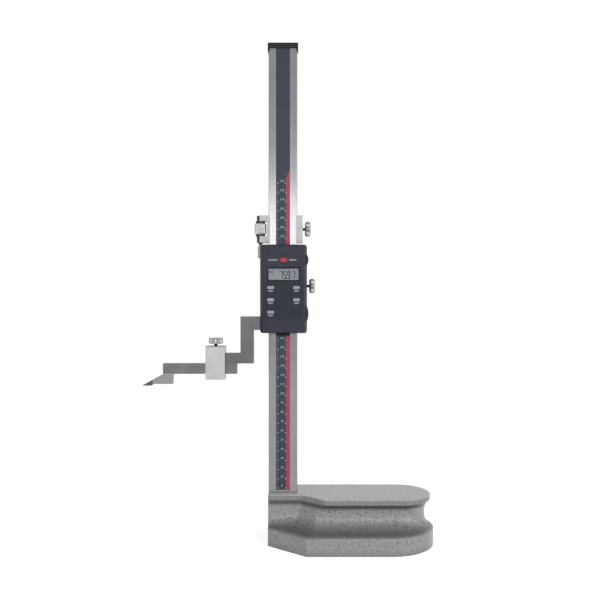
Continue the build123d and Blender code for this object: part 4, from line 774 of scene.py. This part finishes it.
def showReading():
    size = crystal
    low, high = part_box("lcd_panel")
    centreX, centreZ = (low.x + high.x) / 2, (low.z + high.z) / 2
    height, width = size["digitMm"] * mm, size["widthMm"] * mm
    stroke, gap, thick = [size[name] * mm for name in ("strokeMm", "gapMm", "thickMm")]
    half = (height - stroke) / 2
    side = (width - stroke) / 2
    across = segmentBar(True, width - stroke - 2 * gap, stroke, thick)
    along = segmentBar(False, half - 2 * gap, stroke, thick)
    spots = {"a": (across, 0, 2 * half), "g": (across, 0, half), "d": (across, 0, 0),
             "f": (along, -side, 1.5 * half), "b": (along, side, 1.5 * half),
             "e": (along, -side, 0.5 * half), "c": (along, side, 0.5 * half)}
    bars = []
    for digit, middle in zip(size["reading"].replace(".", ""), size["centresMm"]):
        for letter in segmentsOf[digit]:
            source, shiftX, shiftZ = spots[letter]
            bars.append(copied(source, (middle * mm + shiftX, 0, shiftZ)))
    pointX = size["pointXMm"] * mm
    bars.append(slab("point", (pointX - stroke / 2, -thick / 2, -stroke / 2),
                     (pointX + stroke / 2, thick / 2, stroke / 2)))
    for source in (across, along):
        bpy.data.objects.remove(source)
    digits = joined(bars, "displayDigits")
    lean = math.tan(math.radians(size["slantDeg"]))
    for vertex in digits.data.vertices:
        vertex.co.x += lean * vertex.co.z + centreX
        vertex.co.y += low.y - thick / 2
        vertex.co.z += centreZ + size["baseMm"] * mm
    finished(digits, inkCrystal, "slider")

    unitX, unitZ = [place * mm for place in size["unitAtMm"]]
    unit = lettered(size["unit"], size["unitMm"] * mm,
                    (centreX + unitX, low.y - thick / 2, centreZ + unitZ), thick,
                    size["unitBoldMm"] * mm)
    unit.name = "displayUnit"
    finished(unit, inkCrystal, "slider")


print("setting the reading")
showReading()

# label film round the keys, and plain printed bars
housingLabel = {
    "keys": ("key_upper_left", "key_middle_left", "key_lower_left", "key_upper_right",
             "key_middle_right"),
    "leftMm": -20.4, "rightMm": 22.0,
    "bottomMm": 241.7, "topMm": 281.2,
    "filmMm": 0.12,
    "cornerMm": 1.2,
    "keyFlangeMm": 0.8,              # a key's flange round its face, which the film is cut for
    "keyGapMm": 0.18,
    "inkMm": 0.02,
    "barCornerMm": 0.25,
    "badgeBarMm": 1.7,
    "badgeBarsXMm": ((-15.2, -5.2), (6.9, 14.7)),
    "keyBarMm": 1.9,
    "keyBarGapMm": 0.9,
    "keyBarWidthMm": 5.0,
}


def labelHousing():
    size = housingLabel
    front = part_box("display_cover")[0].y
    film, ink = size["filmMm"] * mm, size["inkMm"] * mm
    label = slab("keyLabel", (size["leftMm"] * mm, front - film, size["bottomMm"] * mm),
                 (size["rightMm"] * mm, front, size["topMm"] * mm))
    roundCorners(label, size["cornerMm"] * mm)

    badgeLow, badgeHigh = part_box("badge")
    badgeZ = (badgeLow.z + badgeHigh.z) / 2
    half = size["badgeBarMm"] * mm / 2
    bars = [slab("bar", (left * mm, front - ink, badgeZ - half),
                 (right * mm, front, badgeZ + half)) for left, right in size["badgeBarsXMm"]]

    inset = (size["keyFlangeMm"] - size["keyGapMm"]) * mm
    wide = size["keyBarWidthMm"] * mm / 2
    for key in size["keys"]:
        low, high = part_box(key)
        opening = slab("opening", (low.x + inset, front - mm, low.z + inset),
                       (high.x - inset, front + mm, high.z - inset))
        cutOrMeet(label, opening, "DIFFERENCE")
        middle = (low.x + high.x) / 2
        top = low.z + (size["keyFlangeMm"] - size["keyBarGapMm"]) * mm
        bars.append(slab("bar", (middle - wide, front - film - ink, top - size["keyBarMm"] * mm),
                         (middle + wide, front - film, top)))
    finished(label, labelFilm, "slider")
    for bar in bars:
        roundCorners(bar, size["barCornerMm"] * mm, 2)
    finished(joined(bars, "housingBars"), inkHousing, "slider")


print("labelling the housing")
labelHousing()

# fine-adjust thread: a real helix, cut square and tapered at its foot
threadShape = {
    "pitchMm": 1.0,              # twice the real 0.5, which would not show
    "depthMm": 0.5,
    "neckMm": 1.5,               # radius
    "shoulderMm": 2.75,          # above the frame's lug
    "taperMm": 2.4,
    "tipBreakMm": 0.5,
    "clearMm": 0.03,             # the blank over the crests
    "weldMm": 0.001, "mergeMm": 0.002,
    "spareTurns": 3,             # cut off again at both ends
    "facets": 40, "neckFacets": 24,
}


def cutThread():
    size = threadShape
    low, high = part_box("fine_adjust_rod")
    middle = (low.x + high.x) / 2
    radius = (high.x - low.x) / 2
    pitch, depth = size["pitchMm"] * mm, size["depthMm"] * mm
    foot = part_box("slider_frame")[1].z + size["shoulderMm"] * mm

    # one ridge as two edges beside the axis, then wound up along it
    deselectAll()
    bpy.ops.mesh.primitive_plane_add(size=pitch)
    ridge = bpy.context.object
    bpy.ops.object.mode_set(mode="EDIT")
    bpy.ops.mesh.select_all(action="SELECT")
    bpy.ops.mesh.merge(type="CENTER")
    bpy.ops.transform.translate(value=(radius - depth, 0, 0))
    for reach in (depth, -depth):
        bpy.ops.mesh.extrude_region_move(TRANSFORM_OT_translate={"value": (reach, 0, pitch / 2)})
    bpy.ops.object.mode_set(mode="OBJECT")
    winding = ridge.modifiers.new("winding", "SCREW")
    winding.axis = "Z"
    winding.screw_offset = pitch
    winding.iterations = math.ceil((high.z - foot) / pitch) + size["spareTurns"]
    winding.steps = winding.render_steps = size["facets"]
    winding.use_merge_vertices = True
    winding.merge_threshold = size["weldMm"] * mm
    bpy.ops.object.modifier_apply(modifier=winding.name)
    ridge.location = (middle, 0, foot - 2 * pitch)
    settle(ridge)
    bpy.ops.object.mode_set(mode="EDIT")
    bpy.ops.mesh.select_all(action="SELECT")
    bpy.ops.mesh.remove_doubles(threshold=size["mergeMm"] * mm)
    for level, clearsOver in ((foot - pitch / 2, False), (high.z + pitch / 2, True)):
        bpy.ops.mesh.select_all(action="SELECT")
        bpy.ops.mesh.bisect(plane_co=(middle, 0, level), plane_no=(0, 0, 1), use_fill=True,
                            clear_outer=clearsOver, clear_inner=not clearsOver)
    bpy.ops.mesh.select_all(action="SELECT")
    bpy.ops.mesh.normals_make_consistent(inside=False)
    bpy.ops.object.mode_set(mode="OBJECT")

    # the blank it was turned from: a bar with a tapered foot and a broken tip
    close = 0.001 * mm
    deselectAll()
    bpy.ops.mesh.primitive_cylinder_add(
        vertices=size["facets"], radius=radius + size["clearMm"] * mm,
        depth=high.z - foot, location=(middle, 0, (high.z + foot) / 2))
    blank = settle(bpy.context.object)
    for level, reach in ((foot, size["taperMm"] * mm), (high.z, size["tipBreakMm"] * mm)):
        breakEdges(blank, lambda a, b: max(abs(a.z - level), abs(b.z - level)) < close, reach)
    cutOrMeet(ridge, blank, "INTERSECT")

    # the neck that goes down into the lug
    deselectAll()
    bpy.ops.mesh.primitive_cylinder_add(
        vertices=size["neckFacets"], radius=size["neckMm"] * mm,
        depth=foot + mm - low.z, location=(middle, 0, (foot + mm + low.z) / 2))
    cutOrMeet(ridge, settle(bpy.context.object), "UNION")
    ridge.name = ridge.data.name = "fineAdjustThread"
    finished(ridge, threadSteel, "slider")
    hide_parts("fine_adjust_rod")


print("cutting the fine-adjust thread")
cutThread()

# floor, world, lamps and camera
studio = {
    "floorM": 6.0,
    "floorDropMm": 0.2,                  # under the base's sole
    "floor": "cacaca",                   # 0.59 of the light
    "floorGlow": 0.75,                   # for the camera and for gloss only, so it reads white
    "leftTone": 0.55, "rightTone": 1.0,
    "leftTurn": (-0.85, -0.05),          # where the left wall's tone turns into the right one's
    "frontTone": 0.88, "roomTone": 0.3,
    "frontTurn": (-0.2, -0.7),           # where the wall behind the camera begins, and is full
    "roomRise": (0.05, 0.14),            # the dim strip of room ends, off the level
    "overheadTone": 0.3,
    "overheadRise": (0.42, 0.75),        # where the ceiling begins, and is full
    "cameraMm": (18.45, -795.5, 262.4),  # level, a little to the right of the column
    "lensMm": 43.85, "sensorMm": 36,
}
# each lamp's place, what it aims at, its two sizes in metres and its radiance; the column
# mirrors the long low band above the head
softboxes = {
    "frontBand": ((0, -2.2, 0.52), (0, 0, 0.3), (2.4, 0.32), 4.2),
    "rightSoftbox": ((1.35, -1.6, 0.6), (0, 0, 0.2), (0.9, 0.9), 4.0),
}


def layFloor():
    deselectAll()
    bpy.ops.mesh.primitive_plane_add(size=studio["floorM"],
                                     location=(0, 0, cadLow.z - studio["floorDropMm"] * mm))
    floor = bpy.context.object
    floor.name = "paleFloor"
    settle(floor)
    # painted board: matt, and white wherever the camera or gloss sees it
    material, tree, shader, place = startMaterial("paleStudioFloor", {
        "Base Color": linear(studio["floor"]), "Roughness": 0.9, "Specular IOR Level": 0.0,
        "Emission Color": linear("ffffff")})
    path = addNode(tree, "ShaderNodeLightPath").outputs
    seen = addNode(tree, "ShaderNodeMath", {},
                   {0: path["Is Camera Ray"], 1: path["Is Glossy Ray"]}, operation="MAXIMUM")
    seen = addNode(tree, "ShaderNodeMath", {}, {0: seen, 1: path["Is Transmission Ray"]},
                   operation="MAXIMUM")
    glow = addNode(tree, "ShaderNodeMath", {1: studio["floorGlow"]}, {0: seen},
                   operation="MULTIPLY")
    tree.links.new(glow.outputs[0], shader.inputs["Emission Strength"])
    floor.data.materials.append(material)


def lightWorld():
    # one studio for light and for gloss: white walls, greyer on the left, under a dim ceiling
    world = bpy.data.worlds.new("paleStudio")
    bpy.context.scene.world = world
    world.use_nodes = True
    tree = world.node_tree
    tree.nodes.clear()
    ray = addNode(tree, "ShaderNodeTexCoord").outputs["Generated"]
    toward = addNode(tree, "ShaderNodeSeparateXYZ", {}, {0: ray}).outputs
    begins, full = studio["leftTurn"]
    walls = addNode(tree, "ShaderNodeMapRange",
                    {fromLow: begins, fromHigh: full, toLow: studio["leftTone"],
                     toHigh: studio["rightTone"]},
                    {0: toward["X"]}, interpolation_type="SMOOTHSTEP")
    # behind the camera a dim strip of room shows between the floor and the lamps
    begins, full = studio["frontTurn"]
    inFront = addNode(tree, "ShaderNodeMapRange", {fromLow: begins, fromHigh: full},
                      {0: toward["Y"]})
    offLevel = addNode(tree, "ShaderNodeMath", {}, {0: toward["Z"]}, operation="ABSOLUTE")
    begins, full = studio["roomRise"]
    dim = addNode(tree, "ShaderNodeMapRange",
                  {fromLow: begins, fromHigh: full, toLow: studio["roomTone"],
                   toHigh: studio["frontTone"]},
                  {0: offLevel}, interpolation_type="SMOOTHSTEP")
    walls = addNode(tree, "ShaderNodeMix", {}, {mixShare: inFront, numberA: walls, numberB: dim},
                    data_type="FLOAT")
    begins, full = studio["overheadRise"]
    above = addNode(tree, "ShaderNodeMapRange", {fromLow: begins, fromHigh: full},
                    {0: toward["Z"]}, interpolation_type="SMOOTHSTEP")
    tone = addNode(tree, "ShaderNodeMix", {numberB: studio["overheadTone"]},
                   {mixShare: above, numberA: walls}, data_type="FLOAT")
    around = addNode(tree, "ShaderNodeBackground", {"Color": linear("ffffff")},
                     {"Strength": tone})
    white = addNode(tree, "ShaderNodeBackground", {"Color": linear("ffffff"), "Strength": 1.0})
    path = addNode(tree, "ShaderNodeLightPath").outputs
    clear = addNode(tree, "ShaderNodeMath", {},
                    {0: path["Is Camera Ray"], 1: path["Is Transmission Ray"]},
                    operation="MAXIMUM")
    seen = addNode(tree, "ShaderNodeMixShader", {}, {0: clear, 1: around, 2: white})
    addNode(tree, "ShaderNodeOutputWorld", {}, {"Surface": seen})


def hangSoftbox(name, place, aim, sizes, radiance):
    deselectAll()
    bpy.ops.object.light_add(type="AREA", location=place)
    light = bpy.context.object
    light.name = name
    light.data.shape = "RECTANGLE"
    light.data.size, light.data.size_y = sizes
    light.data.energy = radiance * sizes[0] * sizes[1] * math.pi
    light.rotation_euler = (Vector(aim) - Vector(place)).to_track_quat("-Z", "Y").to_euler()


def placeCamera():
    bpy.ops.object.camera_add(location=[at * mm for at in studio["cameraMm"]],
                              rotation=(math.pi / 2, 0, 0))
    camera = bpy.context.object
    camera.name = "levelCamera"
    camera.data.lens = studio["lensMm"]
    camera.data.sensor_width = studio["sensorMm"]
    bpy.context.scene.camera = camera


print("lighting the studio")
layFloor()
lightWorld()
for name, (place, aim, sizes, radiance) in softboxes.items():
    hangSoftbox(name, place, aim, sizes, radiance)
placeCamera()
bpy.context.scene.view_settings.view_transform = "Standard"
